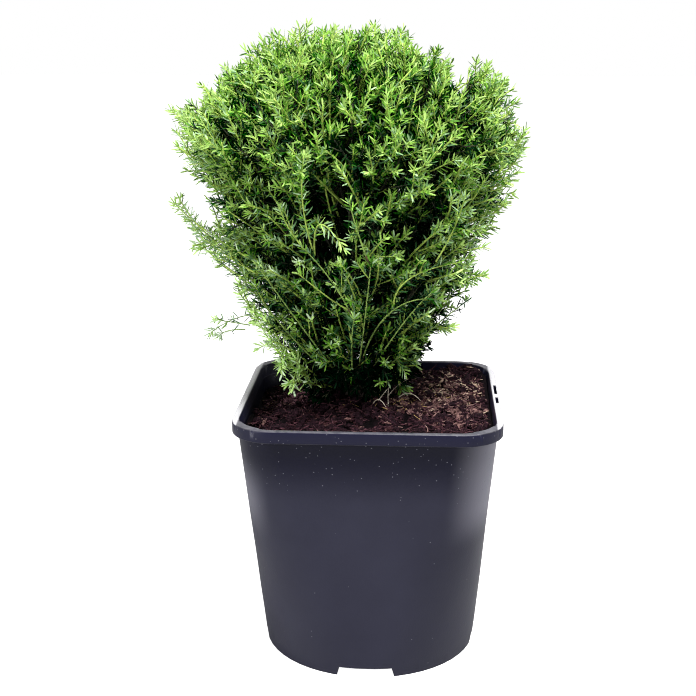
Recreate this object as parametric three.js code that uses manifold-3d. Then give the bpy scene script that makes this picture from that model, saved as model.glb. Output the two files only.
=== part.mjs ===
// A dwarf conifer in a plastic nursery pot: square-topped pot, potting mix, short stem, boughs and foliage.
// Millimetres, +Z up, front towards -Y. The origin is the centre of the pot's flat underside.
import * as THREE from 'three';
import { mergeVertices } from 'three/addons/utils/BufferGeometryUtils.js';
import Module from 'manifold-3d';

const wasm = await Module();
wasm.setup();

// ---- Driving dimensions ----

const GAP = 0.3; // clearance kept between neighbouring solids

const POT = {
  height: 151,
  rimHalf: 75, // half the outer width of the square rim
  rimHeight: 7.5,
  rimLip: 3.7, // width of the flat ring on top
  rimChamfer: 0.8,
  cornerAtRim: 25, // corner radius of the square top
  shoulderHalf: 72, // half width of the body under the rim
  shoulderCorner: 23,
  baseRadius: 63, // the body ends in a circle
  wall: 1.6,
  floorUnder: 5.5, // the floor is raised on a ring foot
  floorThickness: 1.6,
  footThickness: 2.4,
  padRadius: 16, // round pad in the middle of the underside
  notchWidth: 30, // gaps in the ring foot that let water out
  notchSlope: 2.5,
  drainRadius: 5,
  drainAt: 44,
  cornerSteps: 7,
  bodyRings: 4,
};

const MIX = { edgeBelowRim: 9, moundAboveEdge: 4, lump: 1.1, plateau: 15 };

const PLANT = { x: -10, y: 10 }; // where the stem stands
const SOIL = POT.height - MIX.edgeBelowRim + MIX.moundAboveEdge; // ground level at the stem

const STEM = { height: 12, footRadius: 7, waistRadius: 4.9, forkRadius: 4, lean: 1, flare: 2.5, lobes: 5 };

const CROWN = {
  foot: 9, // height of the lowest foliage above the ground
  footRadius: 22,
  bellyHeight: 153,
  bellyRadius: 100,
  cupPower: 0.7,
  domeHeight: 63,
  lean: -5, // sideways drift of the crown's axis from foot to top
};

// Hollows in the crown's outline: azimuth (0 is right, -90 front) and height of the middle, width, depth.
const HOLLOWS = [
  { azimuth: -97, height: 118, width: 20, depth: 15 },
  { azimuth: 8, height: 196, width: 13, depth: 14 },
];

// Long shoots that stand out of the outline: azimuth and height of the tip, its distance from the axis.
const SPRIGS = [
  { azimuth: 177, height: 174, reach: 104 },
  { azimuth: 180, height: 118, reach: 101 },
  { azimuth: 186, height: 112, reach: 98 },
  { azimuth: 188, height: 43, reach: 80 },
  { azimuth: 200, height: 96, reach: 93 },
  { azimuth: 8, height: 196, reach: 60 },
  { azimuth: -8, height: 194, reach: 71 },
  { azimuth: -12, height: 158, reach: 102 },
  { azimuth: -20, height: 80, reach: 80 },
  { azimuth: -30, height: 52, reach: 68 },
];

// The crown is divided by cones of space that meet at a point under the ground.
const APEX_DEPTH = 60;
const RINGS = [
  { name: 'center', count: 1, polar: 0, leaderPolar: 0, turn: 0, forkHeight: STEM.height - 1, rootRadius: 2.2 },
  { name: 'inner', count: 5, polar: 10.5, leaderPolar: 10.5, turn: -70, forkHeight: 8.3, rootRadius: 1.7 },
  { name: 'outer', count: 9, polar: 20.5, leaderPolar: 17.5, turn: -90, forkHeight: 3.4, rootRadius: 1.5 },
];
const FORK_STAGGER = 1; // neighbouring boughs leave the stem at different heights
const TURN_JITTER = 4;

const BOUGH = { entersAt: 18, tipRadius: 1.2, sides: 5, steps: 4, rise: 0.4 };
const LEADER = { tipRadius: 0.6, sides: 4, depth: 13 };
const CORE = {
  depth: 15,
  startsAt: 24,
  point: 4, // the core's pointed foot
  leastReach: 3,
  sides: 9,
  shares: [0.05, 0.2, 0.36, 0.52, 0.68, 0.83, 0.94],
  innerShares: [0.05, 0.35, 0.65, 0.8, 0.93], // masses that have neighbours all round need fewer rings
  cellInset: 1.2,
  slimmest: 0.72,
  fullest: 0.97,
  tuft: 12,
  tuftRise: 0.5,
};
const TWIG = { rootRadius: 1, tipRadius: 0.9, endRadius: 0.55, sides: 3, slope: 40, overGround: 3, limbRoom: 1.6, lowRoot: 0.3 };
const SHOOT = { length: 27, sprigLength: 32, jitter: 0.3, outward: 0.8, upward: 0.5, inset: 2.5 };
const NEEDLE = { length: 14, shortening: 0.35, whorls: 3, firstAt: 0.14, lastAt: 0.8, lean: 44 };
const SITES = 112;

const GOLDEN_ANGLE = Math.PI * (3 - Math.sqrt(5));
const UP = new THREE.Vector3(0, 0, 1);

const MATERIALS = {
  pot: new THREE.MeshStandardMaterial({ color: 0x2f313b, roughness: 0.45, metalness: 0 }),
  mix: new THREE.MeshStandardMaterial({ color: 0x3a241b, roughness: 1, metalness: 0 }),
  bark: new THREE.MeshStandardMaterial({ color: 0x5f4a2c, roughness: 0.9, metalness: 0 }),
  foliage: new THREE.MeshStandardMaterial({ color: 0x5c8f2f, roughness: 0.7, metalness: 0 }),
};

// ---- Small tools ----

const radians = THREE.MathUtils.degToRad;
const lerp = THREE.MathUtils.lerp;

function seededRandom(seed) {
  let state = seed >>> 0;
  return () => {
    state = (state + 0x6d2b79f5) >>> 0;
    let t = state;
    t = Math.imul(t ^ (t >>> 15), t | 1);
    t ^= t + Math.imul(t ^ (t >>> 7), t | 61);
    return ((t ^ (t >>> 14)) >>> 0) / 4294967296;
  };
}

/** A closed three.js geometry as a solid that can be joined and cut. */
function toSolid(geometry) {
  const bare = new THREE.BufferGeometry().setAttribute('position', geometry.getAttribute('position'));
  bare.setIndex(geometry.index);
  const merged = mergeVertices(bare, 1e-4);
  return new wasm.Manifold(new wasm.Mesh({
    numProp: 3,
    vertProperties: new Float32Array(merged.attributes.position.array),
    triVerts: new Uint32Array(merged.index.array),
  }));
}

/** The largest single body of a solid, as a three.js geometry; loose scraps and sealed hollows drop out. */
function toGeometry(solid) {
  const body = solid.decompose().reduce((a, b) => (b.volume() > a.volume() ? b : a));
  const mesh = body.getMesh();
  const geometry = new THREE.BufferGeometry();
  geometry.setAttribute('position', new THREE.BufferAttribute(new Float32Array(mesh.vertProperties), 3));
  geometry.setIndex(new THREE.BufferAttribute(new Uint32Array(mesh.triVerts), 1));
  geometry.computeVertexNormals();
  return geometry;
}

function addPart(group, name, solid, material) {
  const part = new THREE.Mesh(toGeometry(solid), material);
  part.name = name;
  group.add(part);
}

/** A closed loft through rings of points that all have the same number of points, anticlockwise from above. */
function loft(rings) {
  const count = rings[0].length;
  const points = rings.flat();
  const index = [];
  for (let r = 0; r + 1 < rings.length; r++) {
    for (let i = 0; i < count; i++) {
      const a = r * count + i;
      const b = r * count + ((i + 1) % count);
      index.push(a, b, b + count, a, b + count, a + count);
    }
  }
  const first = points.length;
  const last = first + 1;
  points.push(middle(rings[0]), middle(rings[rings.length - 1]));
  const top = (rings.length - 1) * count;
  for (let i = 0; i < count; i++) {
    const next = (i + 1) % count;
    index.push(first, next, i, last, top + i, top + next);
  }
  const geometry = new THREE.BufferGeometry().setFromPoints(points);
  geometry.setIndex(index);
  return toSolid(geometry);
}

function middle(ring) {
  return ring.reduce((sum, p) => sum.add(p), new THREE.Vector3()).divideScalar(ring.length);
}

/** A tapering limb along a curve, bent from a cylinder; radiusAt gives its radius from root (0) to tip (1). */
function limb(path, radiusAt, sides, steps) {
  const geometry = new THREE.CylinderGeometry(1, 1, 1, sides, steps);
  const frames = path.computeFrenetFrames(steps, false);
  const position = geometry.getAttribute('position');
  const local = new THREE.Vector3();
  for (let i = 0; i < position.count; i++) {
    local.fromBufferAttribute(position, i);
    const step = Math.round((local.y + 0.5) * steps);
    const radius = radiusAt(step / steps);
    const point = path.getPointAt(step / steps)
      .addScaledVector(frames.binormals[step], local.x * radius)
      .addScaledVector(frames.normals[step], local.z * radius);
    position.setXYZ(i, point.x, point.y, point.z);
  }
  return toSolid(geometry);
}

function cylinderZ(radius, low, high, sides, x = 0, y = 0) {
  const geometry = new THREE.CylinderGeometry(radius, radius, high - low, sides);
  geometry.rotateX(Math.PI / 2);
  geometry.translate(x, y, (low + high) / 2);
  return toSolid(geometry);
}

// ---- Pot and potting mix ----

/** A rounded square at height z: half its width and its corner radius. Equal values make a circle. */
function roundedSquare(half, corner, z) {
  const ring = [];
  const offset = half - corner;
  for (let quarter = 0; quarter < 4; quarter++) {
    const middleAngle = quarter * Math.PI / 2 + Math.PI / 4;
    const cx = Math.sign(Math.cos(middleAngle)) * offset;
    const cy = Math.sign(Math.sin(middleAngle)) * offset;
    for (let i = 0; i < POT.cornerSteps; i++) {
      const angle = (quarter + (i + 0.5) / POT.cornerSteps) * Math.PI / 2;
      ring.push(new THREE.Vector3(cx + corner * Math.cos(angle), cy + corner * Math.sin(angle), z));
    }
  }
  return ring;
}

/** The pot body's section at height z, moved in by inset. */
function bodySection(z, inset) {
  const share = z / (POT.height - POT.rimHeight);
  const half = lerp(POT.baseRadius, POT.shoulderHalf, share);
  const corner = lerp(POT.baseRadius, POT.shoulderCorner, share);
  return roundedSquare(half - inset, Math.max(corner - inset, 1), z);
}

function bodyHeights(low, high) {
  return Array.from({ length: POT.bodyRings }, (_, i) => lerp(low, high, i / (POT.bodyRings - 1)));
}

function buildPot() {
  const underRim = POT.height - POT.rimHeight;
  const innerHalf = POT.rimHalf - POT.rimLip;
  const innerCorner = POT.cornerAtRim - POT.rimLip;
  const outside = loft([
    ...bodyHeights(0, underRim).map((z) => bodySection(z, 0)),
    roundedSquare(POT.rimHalf, POT.cornerAtRim, underRim + 0.6),
    roundedSquare(POT.rimHalf, POT.cornerAtRim, POT.height - POT.rimChamfer),
    roundedSquare(POT.rimHalf - POT.rimChamfer, POT.cornerAtRim - POT.rimChamfer, POT.height),
  ]);
  const floorTop = POT.floorUnder + POT.floorThickness;
  const inside = loft([
    ...bodyHeights(floorTop, underRim).map((z) => bodySection(z, POT.wall)),
    roundedSquare(innerHalf, innerCorner, POT.height - POT.rimChamfer),
    roundedSquare(innerHalf, innerCorner, POT.height + 1),
  ]);
  const recess = cylinderZ(POT.baseRadius - POT.footThickness, -1, POT.floorUnder, 36)
    .subtract(cylinderZ(POT.padRadius, -2, POT.floorUnder + 1, 24));
  let pot = outside.subtract(inside).subtract(recess);
  for (let i = 0; i < 4; i++) {
    pot = pot.subtract(footNotch(i * Math.PI / 2));
    const angle = (i + 0.5) * Math.PI / 2;
    const [x, y] = [Math.cos(angle) * POT.drainAt, Math.sin(angle) * POT.drainAt];
    pot = pot.subtract(cylinderZ(POT.drainRadius, 1, floorTop + 1, 10, x, y));
  }
  return pot;
}

/** A gap with sloping ends through the ring foot. */
function footNotch(turn) {
  const low = POT.notchWidth / 2 + POT.notchSlope;
  const high = POT.notchWidth / 2;
  const outline = new THREE.Shape([
    new THREE.Vector2(-low, -1), new THREE.Vector2(low, -1),
    new THREE.Vector2(high, POT.floorUnder), new THREE.Vector2(-high, POT.floorUnder),
  ]);
  const geometry = new THREE.ExtrudeGeometry(outline, { depth: POT.baseRadius / 2, bevelEnabled: false });
  geometry.rotateX(Math.PI / 2);
  geometry.translate(0, -POT.baseRadius / 2 - POT.footThickness, 0);
  geometry.rotateZ(turn);
  return toSolid(geometry);
}

function buildMix() {
  const random = seededRandom(11);
  const floorTop = POT.floorUnder + POT.floorThickness;
  const edge = POT.height - MIX.edgeBelowRim;
  const inset = POT.wall + GAP + 0.1;
  const rings = bodyHeights(floorTop, edge).map((z) => bodySection(z, inset));
  const rim = rings[rings.length - 1];
  const centre = new THREE.Vector3(PLANT.x, PLANT.y, SOIL);
  const level = new THREE.Vector3(PLANT.x, PLANT.y, edge);
  for (const share of [0.2, 0.42, 0.65]) {
    rings.push(rim.map((p) => {
      const point = p.clone().lerp(level, share);
      point.z = lerp(edge, SOIL, Math.sin(share * Math.PI / 2)) - random() * MIX.lump;
      return point;
    }));
  }
  rings.push(rim.map((p) => {
    const outward = p.clone().sub(level).setZ(0).normalize();
    return centre.clone().addScaledVector(outward, MIX.plateau);
  }));
  return loft(rings);
}

// ---- Crown: its outline and how its space is divided ----

const apex = new THREE.Vector3(PLANT.x, PLANT.y, SOIL - APEX_DEPTH);

/** Radius of the crown's outline at a height above the ground, before hollows. */
function outlineRadius(height) {
  if (height <= CROWN.bellyHeight) {
    const share = Math.max(height, 0) / CROWN.bellyHeight;
    return lerp(CROWN.footRadius, CROWN.bellyRadius, share ** CROWN.cupPower);
  }
  const rise = (height - CROWN.bellyHeight) / CROWN.domeHeight;
  return CROWN.bellyRadius * Math.sqrt(Math.max(0, 1 - rise * rise));
}

function axisX(height) {
  return PLANT.x + CROWN.lean * height / (CROWN.bellyHeight + CROWN.domeHeight);
}

function crownPoint(azimuth, height, reach) {
  return new THREE.Vector3(
    axisX(height) + reach * Math.cos(azimuth), PLANT.y + reach * Math.sin(azimuth), SOIL + height);
}

/** How far inside the crown's outline a point lies; negative outside. */
function crownDepth(point) {
  const height = point.z - SOIL;
  const dx = point.x - axisX(height);
  const dy = point.y - PLANT.y;
  const reach = Math.hypot(dx, dy);
  let depth;
  if (height > CROWN.bellyHeight) {
    const rise = (height - CROWN.bellyHeight) / CROWN.domeHeight;
    const scaled = Math.hypot(reach / CROWN.bellyRadius, rise);
    depth = (1 - scaled) * Math.hypot(reach, height - CROWN.bellyHeight) / Math.max(scaled, 0.05);
  } else {
    depth = 0.9 * (outlineRadius(height) - reach);
  }
  for (const hollow of HOLLOWS) {
    const middlePoint = crownPoint(radians(hollow.azimuth), hollow.height, outlineRadius(hollow.height));
    const away = point.distanceTo(middlePoint) / hollow.width;
    depth -= hollow.depth * Math.exp(-away * away);
  }
  return Math.min(depth, height - CROWN.foot);
}

function direction(polar, azimuth) {
  return new THREE.Vector3().setFromSphericalCoords(1, radians(polar), azimuth + Math.PI / 2)
    .applyAxisAngle(new THREE.Vector3(1, 0, 0), Math.PI / 2);
}

/** One cell of the crown for each bough: its name, the middle of its space and its leader's direction. */
function makeCells() {
  const random = seededRandom(5);
  const cells = [];
  for (const ring of RINGS) {
    for (let i = 0; i < ring.count; i++) {
      const azimuth = radians(ring.turn + 360 * i / ring.count + (random() - 0.5) * 2 * TURN_JITTER);
      cells.push({
        name: ring.count === 1 ? ring.name : `${ring.name}_${i + 1}`,
        ring: ring.name,
        axis: direction(ring.polar, azimuth),
        leader: direction(ring.leaderPolar, azimuth),
        forkHeight: ring.forkHeight - (i % 2) * FORK_STAGGER,
        rootRadius: ring.rootRadius,
        azimuth,
        seed: 31 + cells.length,
      });
    }
  }
  return cells;
}

const cells = makeCells();

/** Distance from a point to the nearest wall of a cell; negative outside. */
function cellClearance(cell, point) {
  const from = point.clone().sub(apex);
  let least = Infinity;
  for (const other of cells) {
    if (other === cell) continue;
    const wall = cell.axis.clone().sub(other.axis);
    least = Math.min(least, from.dot(wall) / wall.length());
  }
  return least;
}

function cellOf(point) {
  const from = point.clone().sub(apex);
  return cells.reduce((best, cell) => (from.dot(cell.axis) > from.dot(best.axis) ? cell : best));
}

/** The point of a cell's leader at a height above the ground. */
function leaderPoint(cell, height) {
  return apex.clone().addScaledVector(cell.leader, (height + APEX_DEPTH) / cell.leader.z);
}

/** The greatest height at which a cell's leader is still at a depth inside the crown's outline. */
function leaderHeight(cell, depth) {
  let height = CROWN.bellyHeight + CROWN.domeHeight;
  while (crownDepth(leaderPoint(cell, height)) < depth) height -= 1;
  return height;
}

// ---- Stem and boughs ----

function stemPath() {
  const foot = new THREE.Vector3(PLANT.x, PLANT.y, SOIL);
  const fork = foot.clone().add(new THREE.Vector3(-STEM.lean, 0, STEM.height));
  return new THREE.LineCurve3(foot, fork);
}

/** The stem with its root flare, grown outwards by swell. */
function stemSolid(swell) {
  const radiusAt = (share) => {
    const flare = Math.exp(-share * STEM.height / STEM.flare);
    return lerp(STEM.waistRadius, STEM.forkRadius, share) + (STEM.footRadius - STEM.waistRadius) * flare + swell;
  };
  const path = stemPath();
  const sides = 2 * STEM.lobes;
  const rings = [];
  for (let step = 0; step <= 6; step++) {
    const share = (step / 6) ** 1.5;
    const centre = path.getPoint(share);
    centre.z += swell * share;
    rings.push(Array.from({ length: sides }, (_, i) => {
      const angle = 2 * Math.PI * i / sides;
      const lobe = 1 + 0.12 * Math.cos(STEM.lobes * angle) * (1 - share);
      const radius = radiusAt(share) * lobe;
      return new THREE.Vector3(centre.x + radius * Math.cos(angle), centre.y + radius * Math.sin(angle), centre.z);
    }));
  }
  return loft(rings);
}

/** A bough's line from the stem's middle to where it enters its mass of foliage. */
function boughPath(cell) {
  const root = stemPath().getPoint(cell.forkHeight / STEM.height);
  const tip = leaderPoint(cell, BOUGH.entersAt);
  if (cell.name === 'center') return new THREE.LineCurve3(root, tip);
  const outward = new THREE.Vector3(Math.cos(cell.azimuth), Math.sin(cell.azimuth), BOUGH.rise).normalize();
  const span = root.distanceTo(tip);
  return new THREE.CubicBezierCurve3(
    root,
    root.clone().addScaledVector(outward, span * 0.4),
    tip.clone().addScaledVector(cell.leader, -span * 0.35),
    tip,
  );
}

function buildBough(cell, clearStem) {
  const path = boughPath(cell);
  const radiusAt = (share) => lerp(cell.rootRadius, BOUGH.tipRadius, share);
  return limb(path, radiusAt, BOUGH.sides, BOUGH.steps).subtract(clearStem);
}

// ---- Foliage ----

/** Points spread evenly over the crown's outline by a golden-angle spiral in steps of equal area. */
function crownSites(count) {
  const top = CROWN.bellyHeight + CROWN.domeHeight;
  const samples = 400;
  const bands = [];
  let area = 0;
  let before = { height: CROWN.foot, radius: outlineRadius(CROWN.foot) };
  for (let i = 1; i <= samples; i++) {
    const height = top - (top - CROWN.foot) * (1 - i / samples) ** 1.6;
    const here = { height, radius: outlineRadius(height) };
    area += (before.radius + here.radius) * Math.hypot(here.height - before.height, here.radius - before.radius);
    bands.push({ ...here, area, slope: Math.atan2(here.radius - before.radius, here.height - before.height) });
    before = here;
  }
  return Array.from({ length: count }, (_, k) => {
    const band = bands.find((b) => b.area >= (k + 0.5) / count * area);
    const azimuth = k * GOLDEN_ANGLE;
    const normal = new THREE.Vector3(
      Math.cos(band.slope) * Math.cos(azimuth), Math.cos(band.slope) * Math.sin(azimuth), -Math.sin(band.slope));
    let tip = crownPoint(azimuth, band.height, band.radius);
    tip = tip.addScaledVector(normal, Math.min(0, crownDepth(tip)));
    return { tip, normal, length: SHOOT.length };
  });
}

function sprigSites() {
  return SPRIGS.map((sprig) => {
    const azimuth = radians(sprig.azimuth);
    const normal = new THREE.Vector3(Math.cos(azimuth), Math.sin(azimuth), sprig.height > CROWN.bellyHeight ? 0.6 : 0);
    return { tip: crownPoint(azimuth, sprig.height, sprig.reach), normal: normal.normalize(), length: SHOOT.sprigLength };
  });
}

/** Points along the stem and every bough, each with the limb's radius there. */
function sampleLimbs() {
  const steps = 30;
  const along = (path, radiusAt) => path.getSpacedPoints(steps)
    .map((point, i) => ({ point, radius: radiusAt(i / steps) }));
  return [
    ...along(stemPath(), (share) => lerp(STEM.footRadius, STEM.waistRadius, share)),
    ...cells.flatMap((cell) => along(boughPath(cell), (share) => lerp(cell.rootRadius, BOUGH.tipRadius, share))),
  ];
}

const limbSamples = sampleLimbs();

/** Room between a point and the nearest bough or the stem. */
function limbRoom(point) {
  return limbSamples.reduce((least, limbPart) => Math.min(least, limbPart.point.distanceTo(point) - limbPart.radius), Infinity);
}

/** Whether points keep to a cell's own space, above the ground and clear of every limb. */
function fits(cell, points) {
  return points.every((p) => cellClearance(cell, p) > 2 * GAP
    && p.z > SOIL + TWIG.overGround && (p.z > SOIL + BOUGH.entersAt + 4 || limbRoom(p) > TWIG.limbRoom));
}

/** Three points round a centre, across a direction, turned by an angle. */
function twigRing(centre, heading, radius, turn) {
  const side = new THREE.Vector3(1, 0.2, 0.1).cross(heading).normalize().applyAxisAngle(heading, turn);
  return Array.from({ length: TWIG.sides }, (_, i) => {
    const outward = side.clone().applyAxisAngle(heading, 2 * Math.PI * i / TWIG.sides);
    return centre.clone().addScaledVector(outward, radius);
  });
}

/** A twig that bends at its root and carries whorls of needles out to its pointed tip, as one closed body. */
function twigSolid(cell, start, root, tip, random) {
  const way = root.clone().sub(start).normalize();
  const along = tip.clone().sub(root);
  const length = along.length();
  along.normalize();
  const turn = random() * Math.PI;
  const rings = [
    { points: twigRing(start, way, TWIG.rootRadius, turn), needle: 0 },
    { points: twigRing(root, along, TWIG.tipRadius, turn), needle: 0 },
  ];
  for (let whorl = 0; whorl <= NEEDLE.whorls; whorl++) {
    const share = lerp(NEEDLE.firstAt, NEEDLE.lastAt, whorl / NEEDLE.whorls);
    const centre = root.clone().addScaledVector(along, share * length);
    const radius = lerp(TWIG.tipRadius, TWIG.endRadius, share);
    const needle = whorl < NEEDLE.whorls ? NEEDLE.length * (1 - NEEDLE.shortening * share) : 0;
    rings.push({ points: twigRing(centre, along, radius, turn + (whorl + 1) * Math.PI / TWIG.sides), needle });
  }
  const points = [];
  const index = [];
  const put = (...corners) => corners.forEach((corner) => index.push(points.push(corner) - 1));
  const lean = radians(NEEDLE.lean);
  for (let r = 0; r + 1 < rings.length; r++) {
    for (let i = 0; i < TWIG.sides; i++) {
      const next = (i + 1) % TWIG.sides;
      const [a, b, c, d] = [rings[r].points[i], rings[r].points[next], rings[r + 1].points[next], rings[r + 1].points[i]];
      const outward = middle([a, b]).sub(middle(rings[r].points)).normalize();
      const size = rings[r].needle * (0.85 + 0.3 * random());
      const end = middle([a, b, d])
        .addScaledVector(outward, size * Math.sin(lean)).addScaledVector(along, size * Math.cos(lean));
      if (rings[r].needle && fits(cell, [end])) put(a, b, end, b, d, end, d, a, end);
      else put(a, b, d);
      put(b, c, d);
    }
  }
  const last = rings[rings.length - 1].points;
  const first = rings[0].points;
  for (let i = 0; i < TWIG.sides; i++) put(last[i], last[(i + 1) % TWIG.sides], tip);
  put(first[2], first[1], first[0]);
  const geometry = new THREE.BufferGeometry().setFromPoints(points);
  geometry.setIndex(index);
  return toSolid(geometry);
}

/** A twig from the leader towards a site on the outline, whose needled tip reaches the site. */
function buildTwig(cell, site, random, leaderTop) {
  const jitter = new THREE.Vector3(random() - 0.5, random() - 0.5, random() - 0.5).multiplyScalar(SHOOT.jitter * 2);
  const heading = site.normal.clone().multiplyScalar(SHOOT.outward)
    .addScaledVector(UP, SHOOT.upward).add(jitter).normalize();
  const tip = site.tip.clone();
  const root = tip.clone().addScaledVector(heading, -site.length);
  const inward = leaderPoint(cell, THREE.MathUtils.clamp(tip.z - SOIL, CORE.startsAt, leaderTop));
  for (const point of [tip, root]) {
    for (let i = 0; i < 20 && cellClearance(cell, point) < SHOOT.inset; i++) point.lerp(inward, 0.06);
  }
  const aside = root.distanceTo(leaderPoint(cell, root.z - SOIL));
  const startHeight = THREE.MathUtils.clamp(
    root.z - SOIL - aside / Math.tan(radians(TWIG.slope)), BOUGH.entersAt + 2, leaderTop - 1);
  const start = leaderPoint(cell, startHeight);
  if (root.z < start.z) root.lerpVectors(start, tip, TWIG.lowRoot);
  const way = new THREE.LineCurve3(start, root);
  if (!fits(cell, [...way.getPoints(6).slice(2), tip])) return [];
  return [twigSolid(cell, start, root, tip, random)];
}

/** The dense inside of a mass, lofted round its leader inside the cell, with short tufts on its faces. */
function buildCore(cell, top, random) {
  const sideways = new THREE.Vector3(0, 1, 0).cross(cell.leader).normalize();
  const across = cell.leader.clone().cross(sideways).normalize();
  const span = top - CORE.startsAt;
  const shares = cell.ring === 'outer' ? CORE.shares : CORE.innerShares;
  const rings = shares.map((share, r) => {
    const centre = leaderPoint(cell, CORE.startsAt + span * share);
    return Array.from({ length: CORE.sides }, (_, i) => {
      const angle = 2 * Math.PI * (i + r / 2) / CORE.sides;
      const outward = sideways.clone().multiplyScalar(Math.cos(angle)).addScaledVector(across, Math.sin(angle));
      let reach = CORE.leastReach;
      let next = centre.clone().addScaledVector(outward, reach + 0.5);
      while (cellClearance(cell, next) > CORE.cellInset && crownDepth(next) > CORE.depth) {
        reach += 0.5;
        next = centre.clone().addScaledVector(outward, reach + 0.5);
      }
      return centre.clone().addScaledVector(outward, reach * lerp(CORE.slimmest, CORE.fullest, random()));
    });
  });
  const foot = leaderPoint(cell, CORE.startsAt - CORE.point);
  const head = leaderPoint(cell, top);
  const points = [];
  const index = [];
  const put = (...corners) => corners.forEach((corner) => index.push(points.push(corner) - 1));
  const face = (a, b, c) => {
    const normal = new THREE.Triangle(a, b, c).getNormal(new THREE.Vector3());
    const heading = normal.clone().addScaledVector(cell.leader, CORE.tuftRise).normalize();
    const size = Math.min(CORE.tuft, 1.5 * a.distanceTo(b)) * (0.6 + 0.6 * random());
    const ends = [size, size / 2, size / 4].map((length) => middle([a, b, c]).addScaledVector(heading, length));
    const end = ends.find((p) => fits(cell, [p]));
    if (end) put(a, b, end, b, c, end, c, a, end);
    else put(a, b, c);
  };
  for (let r = 0; r + 1 < rings.length; r++) {
    for (let i = 0; i < CORE.sides; i++) {
      const next = (i + 1) % CORE.sides;
      face(rings[r][i], rings[r][next], rings[r + 1][i]);
      put(rings[r][next], rings[r + 1][next], rings[r + 1][i]);
    }
  }
  const last = rings[rings.length - 1];
  for (let i = 0; i < CORE.sides; i++) {
    const next = (i + 1) % CORE.sides;
    put(rings[0][next], rings[0][i], foot);
    face(last[i], last[next], head);
  }
  const geometry = new THREE.BufferGeometry().setFromPoints(points);
  geometry.setIndex(index);
  return toSolid(geometry);
}

function buildFoliage(cell, sites) {
  const random = seededRandom(cell.seed);
  const leaderTop = leaderHeight(cell, LEADER.depth);
  const path = new THREE.LineCurve3(leaderPoint(cell, BOUGH.entersAt), leaderPoint(cell, leaderTop));
  const begin = path.getPoint(0).addScaledVector(cell.leader, GAP);
  const radiusAt = (share) => lerp(BOUGH.tipRadius, LEADER.tipRadius, share);
  const solids = [
    limb(new THREE.LineCurve3(begin, path.getPoint(1)), radiusAt, LEADER.sides, 1),
    buildCore(cell, leaderHeight(cell, CORE.depth), random),
  ];
  for (const site of sites) solids.push(...buildTwig(cell, site, random, leaderTop));
  return wasm.Manifold.union(solids);
}

// ---- Assembly ----

const plant = new THREE.Group();
addPart(plant, 'pot', buildPot(), MATERIALS.pot);
addPart(plant, 'potting_mix', buildMix(), MATERIALS.mix);
addPart(plant, 'trunk', stemSolid(0), MATERIALS.bark);

const clearStem = stemSolid(GAP);
const sites = [...crownSites(SITES), ...sprigSites()];
for (const cell of cells) {
  addPart(plant, `bough_${cell.name}`, buildBough(cell, clearStem), MATERIALS.bark);
  const own = sites.filter((site) => cellOf(site.tip) === cell);
  addPart(plant, `foliage_${cell.name}`, buildFoliage(cell, own), MATERIALS.foliage);
}

export default plant;
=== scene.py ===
"""Looks of a dwarf conifer that grows in a square-topped nursery pot.

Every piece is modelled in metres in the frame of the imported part: +Z up, front towards -Y, and the origin in the
middle of the pot's flat underside. The crown grows by the same seeded rule as the part's masses, to finer twigs.
"""

from __future__ import annotations

import logging
import math
from collections.abc import Callable, Iterator
from contextlib import contextmanager
from dataclasses import dataclass, field
from enum import Enum

import bpy
import numpy as np
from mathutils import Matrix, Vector, noise

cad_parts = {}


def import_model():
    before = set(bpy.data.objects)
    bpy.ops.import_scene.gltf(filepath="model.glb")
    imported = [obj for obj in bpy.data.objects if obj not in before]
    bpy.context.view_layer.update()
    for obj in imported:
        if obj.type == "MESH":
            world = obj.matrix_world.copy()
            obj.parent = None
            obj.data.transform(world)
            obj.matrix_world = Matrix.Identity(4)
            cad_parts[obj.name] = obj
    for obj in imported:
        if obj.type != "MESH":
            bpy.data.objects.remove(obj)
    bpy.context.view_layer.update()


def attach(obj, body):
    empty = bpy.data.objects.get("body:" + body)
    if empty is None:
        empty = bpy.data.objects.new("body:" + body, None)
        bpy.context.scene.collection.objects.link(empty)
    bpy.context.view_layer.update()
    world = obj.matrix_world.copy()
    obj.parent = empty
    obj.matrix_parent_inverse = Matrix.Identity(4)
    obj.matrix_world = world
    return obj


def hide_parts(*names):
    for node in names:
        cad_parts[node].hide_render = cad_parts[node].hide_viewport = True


log = logging.getLogger("potted_conifer")

MM = 0.001
GOLDEN_ANGLE = math.pi * (3.0 - math.sqrt(5.0))
MOST_TRIANGLES = 190_000  # in one piece
NEAR = 0.1 * MM  # closer than this counts as the same level

UP = np.array([0.0, 0.0, 1.0])
NEARLY_UP = (0.2, 0.3, 0.9)

Color = tuple[float, float, float, float]
Triple = tuple[float, float, float]
Span = tuple[float, float]
Piece = bpy.types.Object
Socket = bpy.types.NodeSocket
Material = bpy.types.Material
Random = np.random.Generator
Rows = np.ndarray


# ---- Shared tools for meshes ----


def deselect_all() -> None:
    """Leaves nothing selected and no object in edit mode."""
    if bpy.context.object and bpy.context.object.mode != "OBJECT":
        bpy.ops.object.mode_set(mode="OBJECT")
    bpy.ops.object.select_all(action="DESELECT")


def activate(piece: Piece) -> None:
    """Makes one object the only selected and active one.

    Args:
        piece: The object.
    """
    deselect_all()
    piece.select_set(True)
    bpy.context.view_layer.objects.active = piece


def join(base: Piece, other: Piece) -> None:
    """Makes one object of two, which keeps the first one's name.

    Args:
        base: The object that stays.
        other: The object that goes into it.
    """
    activate(base)
    other.select_set(True)
    bpy.ops.object.join()


def points_of(piece: Piece) -> Rows:
    """Places of a piece's corners."""
    return np.array([corner.co for corner in piece.data.vertices])


def move_points(piece: Piece, points: Rows) -> None:
    """Puts a piece's corners in new places."""
    piece.data.vertices.foreach_set("co", points.astype(np.float32).ravel())


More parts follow.
